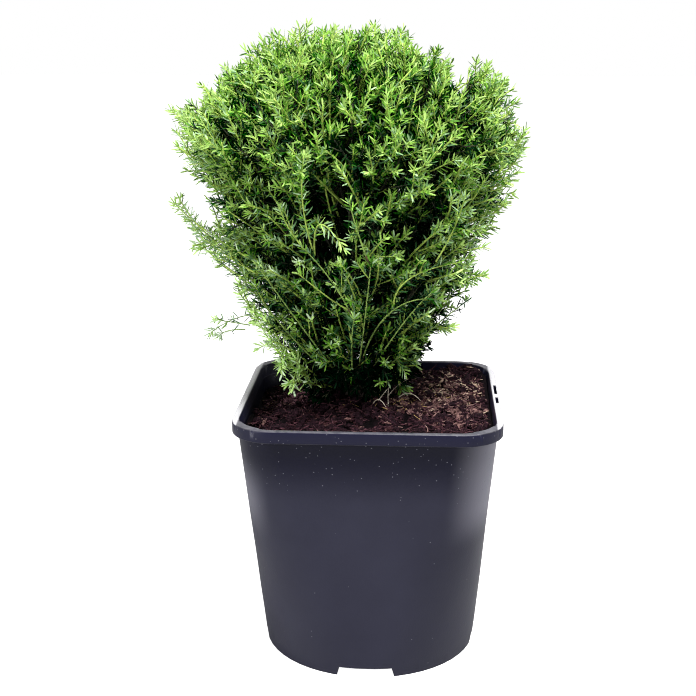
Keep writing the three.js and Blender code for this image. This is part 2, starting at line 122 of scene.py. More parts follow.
def clad(piece: Piece, name: str, material: Material, degrees: float) -> Piece:
    """Finishes a modelled piece.

    Args:
        piece: The piece.
        name: Its name.
        material: Its material.
        degrees: Faces that meet under this angle are shaded smooth.

    Returns:
        The same piece.
    """
    piece.name = piece.data.name = name
    piece.data.materials.clear()
    piece.data.materials.append(material)
    activate(piece)
    bpy.ops.object.shade_smooth_by_angle(angle=math.radians(degrees))
    return piece


def apply_place(piece: Piece) -> None:
    """Puts the object's place, turn and scale into its mesh."""
    activate(piece)
    bpy.ops.object.transform_apply(location=True, rotation=True, scale=True)


@contextmanager
def editing(piece: Piece, wanted: Callable[[Vector, Vector], bool] | None = None) -> Iterator[None]:
    """Opens a piece in edit mode for the modelling steps under it.

    Args:
        piece: The object to edit.
        wanted: Takes the two ends of an edge and says whether it is selected. Without it, everything is.

    Yields:
        Nothing. The steps work on what is selected.
    """
    activate(piece)
    bpy.ops.object.mode_set(mode="EDIT")
    if wanted is None:
        bpy.ops.mesh.select_all(action="SELECT")
    else:
        bpy.ops.mesh.select_mode(type="EDGE")
        bpy.ops.mesh.select_all(action="DESELECT")
        bpy.ops.object.mode_set(mode="OBJECT")
        corners = piece.data.vertices
        for edge in piece.data.edges:
            edge.select = wanted(*[corners[number].co for number in edge.vertices])
        bpy.ops.object.mode_set(mode="EDIT")
    yield
    bpy.ops.object.mode_set(mode="OBJECT")


def above(level: float) -> Callable[[Vector, Vector], bool]:
    """A test for edges that lie above a level."""
    return lambda a, b: min(a.z, b.z) > level


def below(level: float) -> Callable[[Vector, Vector], bool]:
    """A test for edges that lie below a level."""
    return lambda a, b: max(a.z, b.z) < level


def extrude_loop(lift: float, scale: float) -> None:
    """Extrudes the selected edge loop, lifts it and scales it about the upright axis.

    Args:
        lift: Rise of the new loop in metres.
        scale: Scale of the new loop across the axis.
    """
    bpy.ops.mesh.extrude_region_move(TRANSFORM_OT_translate={"value": (0.0, 0.0, lift)})
    bpy.ops.transform.resize(value=(scale, scale, 1.0), center_override=(0.0, 0.0, 0.0))


def cut_away(piece: Piece, cutter: Piece) -> None:
    """Cuts one object out of another and deletes the cutter.

    Args:
        piece: The object that keeps its place.
        cutter: The object whose space is removed.
    """
    activate(piece)
    cut = piece.modifiers.new("cut", "BOOLEAN")
    cut.operation = "DIFFERENCE"
    cut.solver = "EXACT"
    cut.object = cutter
    bpy.ops.object.modifier_apply(modifier=cut.name)
    bpy.data.objects.remove(cutter)


def mesh_from_arrays(name: str, points: Rows, faces: Rows, material: Material) -> Piece:
    """Makes a smooth-shaded object from arrays of points and triangles.

    Args:
        name: The object's name.
        points: Corner places, one row each, in metres.
        faces: Indices of the corners of each triangle.
        material: Its material.

    Returns:
        The new object, linked to the scene.
    """
    mesh = bpy.data.meshes.new(name)
    mesh.vertices.add(len(points))
    mesh.vertices.foreach_set("co", np.asarray(points, np.float32).ravel())
    mesh.loops.add(faces.size)
    mesh.loops.foreach_set("vertex_index", np.asarray(faces, np.int32).ravel())
    mesh.polygons.add(len(faces))
    mesh.polygons.foreach_set("loop_start", np.arange(0, faces.size, 3, dtype=np.int32))
    mesh.polygons.foreach_set("use_smooth", np.ones(len(faces), bool))
    mesh.update(calc_edges=True)
    mesh.materials.append(material)
    piece = bpy.data.objects.new(name, mesh)
    bpy.context.scene.collection.objects.link(piece)
    return piece


def clamp(values: Rows) -> Rows:
    """Limits values to 0 and 1."""
    return np.clip(values, 0.0, 1.0)


def unit(vectors: Rows) -> Rows:
    """Scales rows of vectors to length one."""
    return vectors / np.maximum(np.linalg.norm(vectors, axis=-1, keepdims=True), 1e-9)


def around(along: Rows, angle: Rows, guide: Triple) -> Rows:
    """Directions square to given ones.

    Args:
        along: The directions that they turn about, one row each.
        angle: How far each is turned about them.
        guide: A direction that fixes where the angles start.

    Returns:
        One direction per row.
    """
    side = unit(np.cross(along, np.array(guide)))
    other = np.cross(along, side)
    return side * np.cos(angle)[:, None] + other * np.sin(angle)[:, None]


def copies(faces: Rows, count: int, corners: int) -> Rows:
    """Repeats the triangles of one shape.

    Args:
        faces: Corner numbers of one shape's triangles.
        count: How many shapes there are.
        corners: How many corners each has.

    Returns:
        The triangles of all shapes, one row each.
    """
    return (faces[None] + (np.arange(count) * corners)[:, None, None]).reshape(-1, 3)


def on_plane(x: Rows, y: Rows) -> Rows:
    """Places at height zero."""
    return np.column_stack([x, y, np.zeros_like(x)])


def turned(points: Rows, first: int, second: int, angle: Rows) -> Rows:
    """Turns the corners of many shapes in the plane of two axes.

    Args:
        points: Corners by shape, corner and axis.
        first: Number of the axis that turns towards the second.
        second: Number of the second axis.
        angle: Angle of each shape.

    Returns:
        The turned corners.
    """
    cosine, sine = np.cos(angle)[:, None], np.sin(angle)[:, None]
    result = points.copy()
    result[..., first] = points[..., first] * cosine - points[..., second] * sine
    result[..., second] = points[..., first] * sine + points[..., second] * cosine
    return result


def noise_field(points: Rows, scale: float, octaves: int, seed: float) -> Rows:
    """Fractal noise at each point, about -1 to 1.

    Args:
        points: Places, one row each, in metres.
        scale: Features per metre.
        octaves: How many layers of finer noise are added.
        seed: Shifts the pattern.

    Returns:
        One value per point.
    """
    shift = Vector((seed, -seed, 0.5 * seed))
    return np.array([noise.fractal(Vector(p) * scale + shift, 1.0, 2.0, octaves) for p in points])


# ---- Finishes ----


class GroupBench:
    """A shader node group under construction, with its inputs, its output Mask and object coordinates."""

    def __init__(self, name: str, **inputs: float | Triple) -> None:
        """Starts a group.

        Args:
            name: The group's name.
            inputs: Defaults of its inputs by name.
        """
        self.tree = bpy.data.node_groups.new(name, "ShaderNodeTree")
        for label, value in inputs.items():
            kind = "NodeSocketFloat" if isinstance(value, float) else "NodeSocketVector"
            made = self.tree.interface.new_socket(name=label, in_out="INPUT", socket_type=kind)
            made.default_value = value
        self.tree.interface.new_socket(name="Mask", in_out="OUTPUT", socket_type="NodeSocketFloat")
        self.given = self.node("GroupInput")
        self.out = self.node("GroupOutput")
        self.place = self.node("TexCoord")

    def node(self, kind: str, operation: str = "") -> bpy.types.Node:
        """Adds a node, with its operation if it has one.

        Args:
            kind: The node's type without its prefix.
            operation: Its operation, if it has one.

        Returns:
            The node.
        """
        made = self.tree.nodes.new(f"Node{kind}" if kind.startswith("Group") else f"ShaderNode{kind}")
        if operation:
            made.operation = operation
        return made

    def wire(self, start: bpy.types.Node, source: str | int, end: bpy.types.Node, target: str | int) -> None:
        """Links one node's output to another one's input."""
        self.tree.links.new(start.outputs[source], end.inputs[target])


def mottle_group() -> bpy.types.NodeTree:
    """Builds the shared group for soft, uneven colour: a mask of layered noise on object coordinates.

    Returns:
        A group with the inputs Scale, Detail, Low and High, and the output Mask.
    """
    if "mottle" in bpy.data.node_groups:
        return bpy.data.node_groups["mottle"]
    bench = GroupBench("mottle", Scale=100.0, Detail=4.0, Low=0.35, High=0.65)
    cloud, spread = bench.node("TexNoise"), bench.node("MapRange")
    bench.wire(bench.place, "Object", cloud, "Vector")
    bench.wire(bench.given, "Scale", cloud, "Scale")
    bench.wire(bench.given, "Detail", cloud, "Detail")
    bench.wire(cloud, "Fac", spread, "Value")
    bench.wire(bench.given, "Low", spread, "From Min")
    bench.wire(bench.given, "High", spread, "From Max")
    bench.wire(spread, "Result", bench.out, "Mask")
    return bench.tree


def speck_group() -> bpy.types.NodeTree:
    """Builds the shared group for scattered small specks, such as dust and crumbs on plastic.

    Returns:
        A group with the inputs Scale, Size and Share, and the output Mask.
    """
    if "specks" in bpy.data.node_groups:
        return bpy.data.node_groups["specks"]
    bench = GroupBench("specks", Scale=200.0, Size=0.12, Share=0.3)
    cells, pick = bench.node("TexVoronoi"), bench.node("SeparateColor")
    inside, chosen = bench.node("Math", "LESS_THAN"), bench.node("Math", "LESS_THAN")
    both = bench.node("Math", "MULTIPLY")
    bench.wire(bench.place, "Object", cells, "Vector")
    bench.wire(bench.given, "Scale", cells, "Scale")
    bench.wire(cells, "Distance", inside, 0)
    bench.wire(bench.given, "Size", inside, 1)
    bench.wire(cells, "Color", pick, "Color")
    bench.wire(pick, "Red", chosen, 0)
    bench.wire(bench.given, "Share", chosen, 1)
    bench.wire(inside, 0, both, 0)
    bench.wire(chosen, 0, both, 1)
    bench.wire(both, 0, bench.out, "Mask")
    return bench.tree


def band_group() -> bpy.types.NodeTree:
    """Builds the shared group for an effect that sets in along one direction, such as grime or wear near an edge.

    Returns:
        A group with the inputs Axis, Low and High, the last two in metres along the axis, and the output Mask,
        from 0 at Low to 1 at High.
    """
    if "band" in bpy.data.node_groups:
        return bpy.data.node_groups["band"]
    bench = GroupBench("band", Axis=(0.0, 0.0, 1.0), Low=0.0, High=0.1)
    along, ramp = bench.node("VectorMath", "DOT_PRODUCT"), bench.node("MapRange")
    ramp.interpolation_type = "SMOOTHSTEP"
    bench.wire(bench.place, "Object", along, 0)
    bench.wire(bench.given, "Axis", along, 1)
    bench.wire(along, "Value", ramp, "Value")
    bench.wire(bench.given, "Low", ramp, "From Min")
    bench.wire(bench.given, "High", ramp, "From Max")
    bench.wire(ramp, "Result", bench.out, "Mask")
    return bench.tree


class Bench:
    """A material under construction: its Principled shader and short ways to wire nodes to it."""

    def __init__(self, name: str) -> None:
        """Starts an empty material with one Principled shader."""
        self.material = bpy.data.materials.new(name)
        self.material.use_nodes = True
        self.nodes = self.material.node_tree.nodes
        self.links = self.material.node_tree.links
        self.shader = self.nodes["Principled BSDF"]

    def group(self, tree: bpy.types.NodeTree, **values: float | Triple | Socket) -> Socket:
        """Places a shared group with its own values.

        Args:
            tree: The node group.
            values: Values of its inputs, or outputs that give them, by name.

        Returns:
            The group's output.
        """
        node = self.nodes.new("ShaderNodeGroup")
        node.node_tree = tree
        for name, value in values.items():
            self.give(node.inputs[name], value)
        return node.outputs[0]

    def mottle(self, scale: float, detail: float, low: float, high: float) -> Socket:
        """A soft, uneven mask; the numbers are the mottle group's inputs."""
        return self.group(mottle_group(), Scale=scale, Detail=detail, Low=low, High=high)

    def band(self, span: Span, axis: Triple = (0.0, 0.0, 1.0)) -> Socket:
        """A mask that rises from 0 to 1 over a span in metres along an axis, upwards by default."""
        return self.group(band_group(), Axis=axis, Low=span[0], High=span[1])

    def blend(self, mask: Socket, low: Color | Socket, high: Color | Socket) -> Socket:
        """Mixes two colours by a mask.

        Args:
            mask: Share of the second colour.
            low: First colour, or the output that gives it.
            high: Second colour, or the output that gives it.

        Returns:
            The mixed colour.
        """
        node = self.nodes.new("ShaderNodeMix")
        node.data_type = "RGBA"
        self.give(node.inputs["Factor"], mask)
        self.give(node.inputs[6], low)
        self.give(node.inputs[7], high)
        return node.outputs[2]

    def give(self, target: Socket, value: float | Triple | Color | Socket) -> None:
        """Links an output to an input, or sets the input's own value.

        Args:
            target: The input.
            value: An output to link, or a value.
        """
        if isinstance(value, Socket):
            self.links.new(value, target)
        else:
            target.default_value = value

    def both(self, first: Socket, second: Socket) -> Socket:
        """The product of two masks.

        Args:
            first: One mask.
            second: The other mask.

        Returns:
            The product.
        """
        node = self.nodes.new("ShaderNodeMath")
        node.operation = "MULTIPLY"
        self.links.new(first, node.inputs[0])
        self.links.new(second, node.inputs[1])
        return node.outputs[0]

    def range(self, mask: Socket, low: float, high: float) -> Socket:
        """Maps a mask from 0 and 1 to two values.

        Args:
            mask: The mask.
            low: Value where it is 0.
            high: Value where it is 1.

        Returns:
            The mapped value.
        """
        node = self.nodes.new("ShaderNodeMapRange")
        node.inputs["To Min"].default_value = low
        node.inputs["To Max"].default_value = high
        self.links.new(mask, node.inputs["Value"])
        return node.outputs["Result"]

    def bump(self, height: Socket, depth: float, strength: float,
             under: Socket | None = None) -> Socket:
        """Adds a bump.

        Args:
            height: Mask that gives the height.
            depth: Height of the relief in metres.
            strength: Strength of the effect, 0 to 1.
            under: Normal of a bump below this one.

        Returns:
            The normal.
        """
        node = self.nodes.new("ShaderNodeBump")
        node.inputs["Distance"].default_value = depth
        node.inputs["Strength"].default_value = strength
        self.links.new(height, node.inputs["Height"])
        if under is not None:
            self.links.new(under, node.inputs["Normal"])
        return node.outputs["Normal"]

    def wire(self, name: str, value: Socket) -> None:
        """Links an output to one of the shader's sockets."""
        self.links.new(value, self.shader.inputs[name])

    def fix(self, **values: float) -> None:
        """Sets plain values on the shader's own sockets; underscores stand for spaces."""
        for name, value in values.items():
            self.shader.inputs[name.replace("_", " ")].default_value = value


@dataclass(frozen=True)
class PotPlastic:
    """Dark blue-grey plastic with pale specks and a scuffed lip, painted shade under the rim and painted highlights
    on the lip, hem and corners.
    """

    dark: Color = (0.019, 0.019, 0.037, 1.0)
    light: Color = (0.026, 0.026, 0.048, 1.0)
    painted_rim_shade: Color = (0.001, 0.001, 0.012, 1.0)
    rim: Color = (0.009, 0.009, 0.028, 1.0)
    lip: Color = (0.045, 0.045, 0.06, 1.0)
    scuff_and_highlight: Color = (0.100, 0.097, 0.115, 1.0)
    painted_corner_sheen: Color = (0.27, 0.265, 0.32, 1.0)
    painted_lip_glint: Color = (0.62, 0.61, 0.64, 1.0)
    speck: Color = (0.12, 0.12, 0.15, 1.0)
    rim_shade_span: Span = (104 * MM, 136 * MM)
    rim_span: Span = (143.2 * MM, 144.4 * MM)
    hem_highlight_span: Span = (143.9 * MM, 144.5 * MM)
    lip_span: Span = (150.3 * MM, 150.9 * MM)
    corner_sheen_span: Span = (76 * MM, 104 * MM)
    corner_sheen_way: Triple = (0.94, -0.34, -0.128)
    left_sheen_span: Span = (58 * MM, 77 * MM)
    right_sheen_span: Span = (50 * MM, 76 * MM)
    side_glint_span: Span = (70.6 * MM, 71.8 * MM)

    def make(self) -> Material:
        """Builds the material.

        Returns:
            The material.
        """
        bench = Bench("pot_plastic")
        cloud = bench.mottle(22.0, 5.0, 0.3, 0.7)
        fine = bench.mottle(900.0, 3.0, 0.2, 0.8)
        scratch = bench.mottle(260.0, 6.0, 0.3, 0.6)
        # A band that rises towards the rim: it lays on the painted shade under the rim and gives more specks higher
        # up.
        upper = bench.band(self.rim_shade_span)
        # A band that rises over the upper body, where the painted corner sheen lies.
        corners = bench.band(self.corner_sheen_span)
        rim = bench.band(self.rim_span)
        above_hem = bench.band(self.hem_highlight_span)
        lip = bench.band(self.lip_span)
        specks = bench.group(speck_group(), Scale=420.0, Size=0.13, Share=bench.range(upper, 0.03, 0.6))
        color = bench.blend(cloud, self.dark, self.light)
        # Painted reflection: a pale sheen on the upper left corner, laid under the painted rim shade.
        left_sheen_mask = bench.band(self.left_sheen_span, (-self.corner_sheen_way[0], *self.corner_sheen_way[1:]))
        color = bench.blend(bench.both(left_sheen_mask, corners), color, self.painted_corner_sheen)
        # Painted shade: the wall turns darker and bluer just under the rim.
        color = bench.blend(upper, color, self.painted_rim_shade)
        # Painted reflection: a pale sheen on the upper right corner, laid over the painted rim shade.
        right_sheen_mask = bench.band(self.right_sheen_span, self.corner_sheen_way)
        color = bench.blend(bench.both(right_sheen_mask, corners), color, self.painted_corner_sheen)
        color = bench.blend(rim, color, self.rim)
        # Painted highlight: a mottled pale line along the rim's lower edge.
        hem = bench.both(bench.both(rim, bench.range(above_hem, 1.0, 0.0)), scratch)
        color = bench.blend(hem, color, self.scuff_and_highlight)
        # The lip's top is scuffed, and its pale colour is also a painted highlight.
        color = bench.blend(lip, color, bench.blend(scratch, self.lip, self.scuff_and_highlight))
        # Painted highlights: pale glints on the lip at the left and right sides.
        for way in ((-1.0, 0.0, 0.0), (1.0, 0.0, 0.0)):
            color = bench.blend(bench.both(bench.band(self.side_glint_span, way), lip), color, self.painted_lip_glint)
        bench.wire("Base Color", bench.blend(specks, color, self.speck))
        bench.wire("Roughness", bench.range(cloud, 0.34, 0.46))
        flow = bench.bump(cloud, 0.0006, 0.25)
        bench.wire("Normal", bench.bump(fine, 0.00008, 0.35, flow))
        bench.fix(IOR=1.33)
        return bench.material


@dataclass(frozen=True)
class EarthFinish:
    """Matt organic matter, mottled between two browns."""

    name: str
    dark: Color
    light: Color
    scale: float = 320.0
    relief: float = 0.0006

    def make(self) -> Material:
        """Builds the material.

        Returns:
            The material.
        """
        bench = Bench(self.name)
        cloud = bench.mottle(self.scale, 6.0, 0.36, 0.66)
        fine = bench.mottle(4 * self.scale, 4.0, 0.25, 0.75)
        bench.wire("Base Color", bench.blend(cloud, self.dark, self.light))
        bench.wire("Roughness", bench.range(fine, 0.85, 1.0))
        bench.wire("Normal", bench.bump(fine, self.relief, 0.8))
        bench.shader.inputs["Specular IOR Level"].default_value = 0.1
        return bench.material


@dataclass(frozen=True)
class BarkFinish:
    """Young bark: reddish brown to olive, with fine lengthwise flecks."""

    name: str
    dark: Color
    light: Color

    def make(self) -> Material:
        """Builds the material.

        Returns:
            The material.
        """
        bench = Bench(self.name)
        cloud = bench.mottle(260.0, 5.0, 0.35, 0.65)
        fine = bench.mottle(1500.0, 4.0, 0.25, 0.75)
        bench.wire("Base Color", bench.blend(cloud, self.dark, self.light))
        bench.wire("Roughness", bench.range(cloud, 0.6, 0.85))
        bench.wire("Normal", bench.bump(fine, 0.0003, 0.6))
        return bench.material


class NeedleTone(Enum):
    """Plain base colours of the needles, from the dark tones that paint the shade of the inside to the newest tips.

    SHADE to GLOW are the warm greens. GLOOM to ICE are the cooler ones of the crown's lower half. STRAW is dead.
    """

    SHADE = (0.0002, 0.0085, 0.0004, 1.0)
    DEEP = (0.0006, 0.0330, 0.0010, 1.0)
    GREEN = (0.014, 0.122, 0.003, 1.0)
    FRESH = (0.088, 0.272, 0.016, 1.0)
    LIME = (0.232, 0.475, 0.055, 1.0)
    TIP = (0.370, 0.590, 0.145, 1.0)
    # GLOW and ICE, the brightest, are painted light for low shoots in the crown's shade.
    GLOW = (0.620, 0.930, 0.300, 1.0)
    GLOOM = (0.0004, 0.0080, 0.0022, 1.0)
    MURK = (0.0070, 0.0310, 0.0130, 1.0)
    MOSS = (0.031, 0.104, 0.033, 1.0)
    PALE = (0.112, 0.246, 0.095, 1.0)
    MINT = (0.250, 0.435, 0.200, 1.0)
    FROST = (0.415, 0.630, 0.340, 1.0)
    ICE = (0.690, 0.890, 0.590, 1.0)
    STRAW = (0.480, 0.330, 0.130, 1.0)

    def make(self) -> Material:
        """Builds the needle's material: its base colour a little uneven, with a waxy surface.

        Returns:
            The material.
        """
        bench = Bench(f"needle_{self.name.lower()}")
        cloud = bench.mottle(180.0, 3.0, 0.3, 0.7)
        red, green, blue, alpha = self.value
        darker = (0.8 * red, 0.84 * green, 0.8 * blue, alpha)
        lighter = (1.2 * red, 1.12 * green, 1.15 * blue, alpha)
        bench.wire("Base Color", bench.blend(cloud, darker, lighter))
        bench.wire("Roughness", bench.range(cloud, 0.42, 0.6))
        bench.shader.inputs["Specular IOR Level"].default_value = min(0.25, max(0.0, green - 0.05))
        return bench.material


# ---- Pot ----


@dataclass
class NurseryPot:
    """The pot: a rolled square rim, a body that ends in a circle, and a raised floor on a notched ring foot."""

    height: float = 151 * MM
    rim_half: float = 75 * MM
    rim_height: float = 7.5 * MM
    rim_lip: float = 3.7 * MM
    rim_round: float = 1.1 * MM
    ledge: float = 0.6 * MM
    hem_round: float = 0.5 * MM
    shoulder_half: float = 72 * MM
    shoulder_corner: float = 23 * MM
    base_radius: float = 63 * MM
    wall: float = 1.6 * MM
    floor_under: float = 5.5 * MM
    floor_thickness: float = 1.6 * MM
    foot_thickness: float = 2.4 * MM
    pad_radius: float = 16 * MM
    notch_width: float = 30 * MM
    notch_slope: float = 2.5 * MM
    notch_over: float = 4 * MM  # how far the cutter reaches below the pot
    drain_radius: float = 5 * MM
    drain_at: float = 44 * MM
    corner_segments: int = 12
    body_cuts: int = 14
    flex: float = 0.35 * MM  # how far the thin wall wanders
    slot_width: float = 1.7 * MM
    slot_depth: float = 5 * MM
    slots: tuple[Span, ...] = ((2 * MM, 21 * MM), (-16 * MM, -3.5 * MM))  # ends along the right rim

    def ring(self, half: float, corner: float, level: float) -> Piece:
        """Makes a rounded square of bare edges.

        Args:
            half: Half its width.
            corner: Its corner radius.
            level: Its height.

        Returns:
            The ring's object.
        """
        deselect_all()
        bpy.ops.mesh.primitive_plane_add(size=2 * half, location=(0.0, 0.0, level))
        ring = bpy.context.active_object
        with editing(ring):
            bpy.ops.mesh.bevel(offset=corner, segments=self.corner_segments, affect="VERTICES", clamp_overlap=False)
            bpy.ops.mesh.select_all(action="SELECT")
            bpy.ops.mesh.delete(type="ONLY_FACE")
        apply_place(ring)
        return ring

    def circle(self, radius: float, level: float) -> Piece:
        """Makes a circle of bare edges with as many corners as the rounded square.

        Args:
            radius: Its radius.
            level: Its height.

        Returns:
            The circle's object.
        """
        deselect_all()
        corners = 4 * (self.corner_segments + 1)
        bpy.ops.mesh.primitive_circle_add(vertices=corners, radius=radius, location=(0.0, 0.0, level),
                                          rotation=(0.0, 0.0, math.pi / corners))
        ring = bpy.context.active_object
        apply_place(ring)
        return ring

    def skin(self, inset: float, low: float, high: float) -> Piece:
        """Bridges the round foot to the square shoulder as one tapering wall.

        Args:
            inset: How far inside the pot's outer face it lies.
            low: Height of the round end.
            high: Height of the square end.

        Returns:
            The wall, open at both ends.
        """
        square = self.ring(self.shoulder_half - inset, self.shoulder_corner - inset, high)
        round_end = self.circle(self.base_radius - inset, low)
        join(square, round_end)
        with editing(square):
            bpy.ops.mesh.bridge_edge_loops(number_cuts=self.body_cuts, interpolation="LINEAR")
        return square

    def add_rim(self, body: Piece) -> None:
        """Extrudes the rolled rim and its inner lip from the body's shoulder.

        Args:
            body: The pot's outer wall.
        """
        shoulder = self.height - self.rim_height
        inner = self.rim_half - self.rim_lip
        with editing(body, above(shoulder - NEAR)):
            extrude_loop(self.ledge, self.rim_half / self.shoulder_half)
            extrude_loop(self.rim_height - self.ledge, 1.0)
            extrude_loop(0.0, inner / self.rim_half)
            extrude_loop(-self.rim_height, (self.shoulder_half - self.wall) / inner)
        with editing(body, self.follows_lip):
            bpy.ops.mesh.bevel(offset=self.rim_round, segments=4, affect="EDGES")
        low, high = above(shoulder + 0.5 * self.ledge), below(shoulder + 2 * self.ledge)
        with editing(body, lambda a, b: low(a, b) and high(a, b)):
            bpy.ops.mesh.bevel(offset=self.hem_round, segments=3, affect="EDGES")

    def follows_lip(self, a: Vector, b: Vector) -> bool:
        """Tells whether an edge runs along one of the two edges of the rim's top.

        Args:
            a: One end of the edge.
            b: Its other end.

        Returns:
            True for such an edge, and false for one that runs across the lip or lies elsewhere.
        """
        on_top = min(a.z, b.z) > self.height - NEAR and abs(a.length - b.length) < 4 * MM
        change = abs(max(abs(a.x), abs(a.y)) - max(abs(b.x), abs(b.y)))
        return on_top and (change <= 0.3 * self.rim_lip or (a - b).length >= 1.6 * self.rim_lip)

    def add_foot(self, body: Piece) -> None:
        """Extrudes the ring foot, the raised floor's underside and the round pad from the body's round end.

        Args:
            body: The pot's outer wall.
        """
        foot_inner = self.base_radius - self.foot_thickness
        with editing(body, below(NEAR)):
            extrude_loop(0.0, foot_inner / self.base_radius)
            extrude_loop(self.floor_under, 1.0)
            extrude_loop(0.0, self.pad_radius / foot_inner)
            extrude_loop(-self.floor_under, 1.0)
            bpy.ops.mesh.edge_face_add()

    def block(self, size: Triple, place: Triple) -> Piece:
        """Makes a block.

        Args:
            size: Its width, depth and height.
            place: Its middle.

        Returns:
            The block.
        """
        deselect_all()
        bpy.ops.mesh.primitive_cube_add(size=1.0)
        block = bpy.context.active_object
        block.scale = size
        block.location = place
        apply_place(block)
        return block

    def notch_cutter(self, turn: float) -> Piece:
        """Makes the block with sloping ends that opens the ring foot at a bearing.

        Args:
            turn: Its bearing round the foot.

        Returns:
            The cutter.
        """
        over = self.floor_under - self.notch_over
        cutter = self.block((self.notch_width, self.base_radius / 2, self.floor_under + self.notch_over),
                            (0.0, -self.base_radius, over / 2))
        widening = 1.0 + 2 * self.notch_slope / self.notch_width
        with editing(cutter, below(0.0)):
            bpy.ops.transform.resize(value=(widening, 1.0, 1.0), center_override=(0.0, 0.0, 0.0))
        cutter.rotation_euler.z = turn
        apply_place(cutter)
        return cutter

    def drain_cutter(self, turn: float) -> Piece:
        """Makes the round cutter of one drain hole at a bearing.

        Args:
            turn: Its bearing round the floor.

        Returns:
            The cutter.
        """
        deselect_all()
        place = (self.drain_at * math.cos(turn), self.drain_at * math.sin(turn), self.floor_under)
        bpy.ops.mesh.primitive_cylinder_add(vertices=24, radius=self.drain_radius, depth=12 * MM, location=place)
        cutter = bpy.context.active_object
        apply_place(cutter)
        return cutter

    def slot_cutter(self, low: float, high: float) -> Piece:
        """Makes the cutter of one slot in the top of the right rim, from a front end to a back end."""
        return self.block((self.slot_width, high - low, 2 * self.slot_depth),
                          (self.rim_half - 0.42 * self.rim_lip, (low + high) / 2, self.height))

    def flex_walls(self, body: Piece) -> None:
        """Lets the thin walls wander a little, as moulded plastic does.

        Args:
            body: The pot.
        """
        points = points_of(body)
        outward = unit(points * np.array([1.0, 1.0, 0.0]))
        free = clamp(points[:, 2] / (20 * MM)) * clamp((self.height - points[:, 2]) / (12 * MM))
        wander = noise_field(points, 14.0, 2, 3.7) * free * self.flex
        move_points(body, points + outward * wander[:, None])

    def build(self, material: Material) -> Piece:
        """Builds the whole pot.

        Args:
            material: Its plastic.

        Returns:
            The finished pot.
        """
        body = self.skin(0.0, 0.0, self.height - self.rim_height)
        self.add_rim(body)
        self.add_foot(body)
        floor_top = self.floor_under + self.floor_thickness
        lining = self.skin(self.wall, floor_top, self.height - self.rim_height)
        with editing(lining, below(floor_top + NEAR)):
            bpy.ops.mesh.edge_face_add()
        join(body, lining)
        with editing(body):
            bpy.ops.mesh.remove_doubles(threshold=NEAR / 2)
            bpy.ops.mesh.normals_make_consistent(inside=False)
        self.flex_walls(body)
        for quarter in range(4):
            cut_away(body, self.notch_cutter(quarter * math.pi / 2))
            cut_away(body, self.drain_cutter((quarter + 0.5) * math.pi / 2))
        for low, high in self.slots:
            cut_away(body, self.slot_cutter(low, high))
        return clad(body, "nursery_pot", material, 38.0)


# ---- Ground in the pot ----


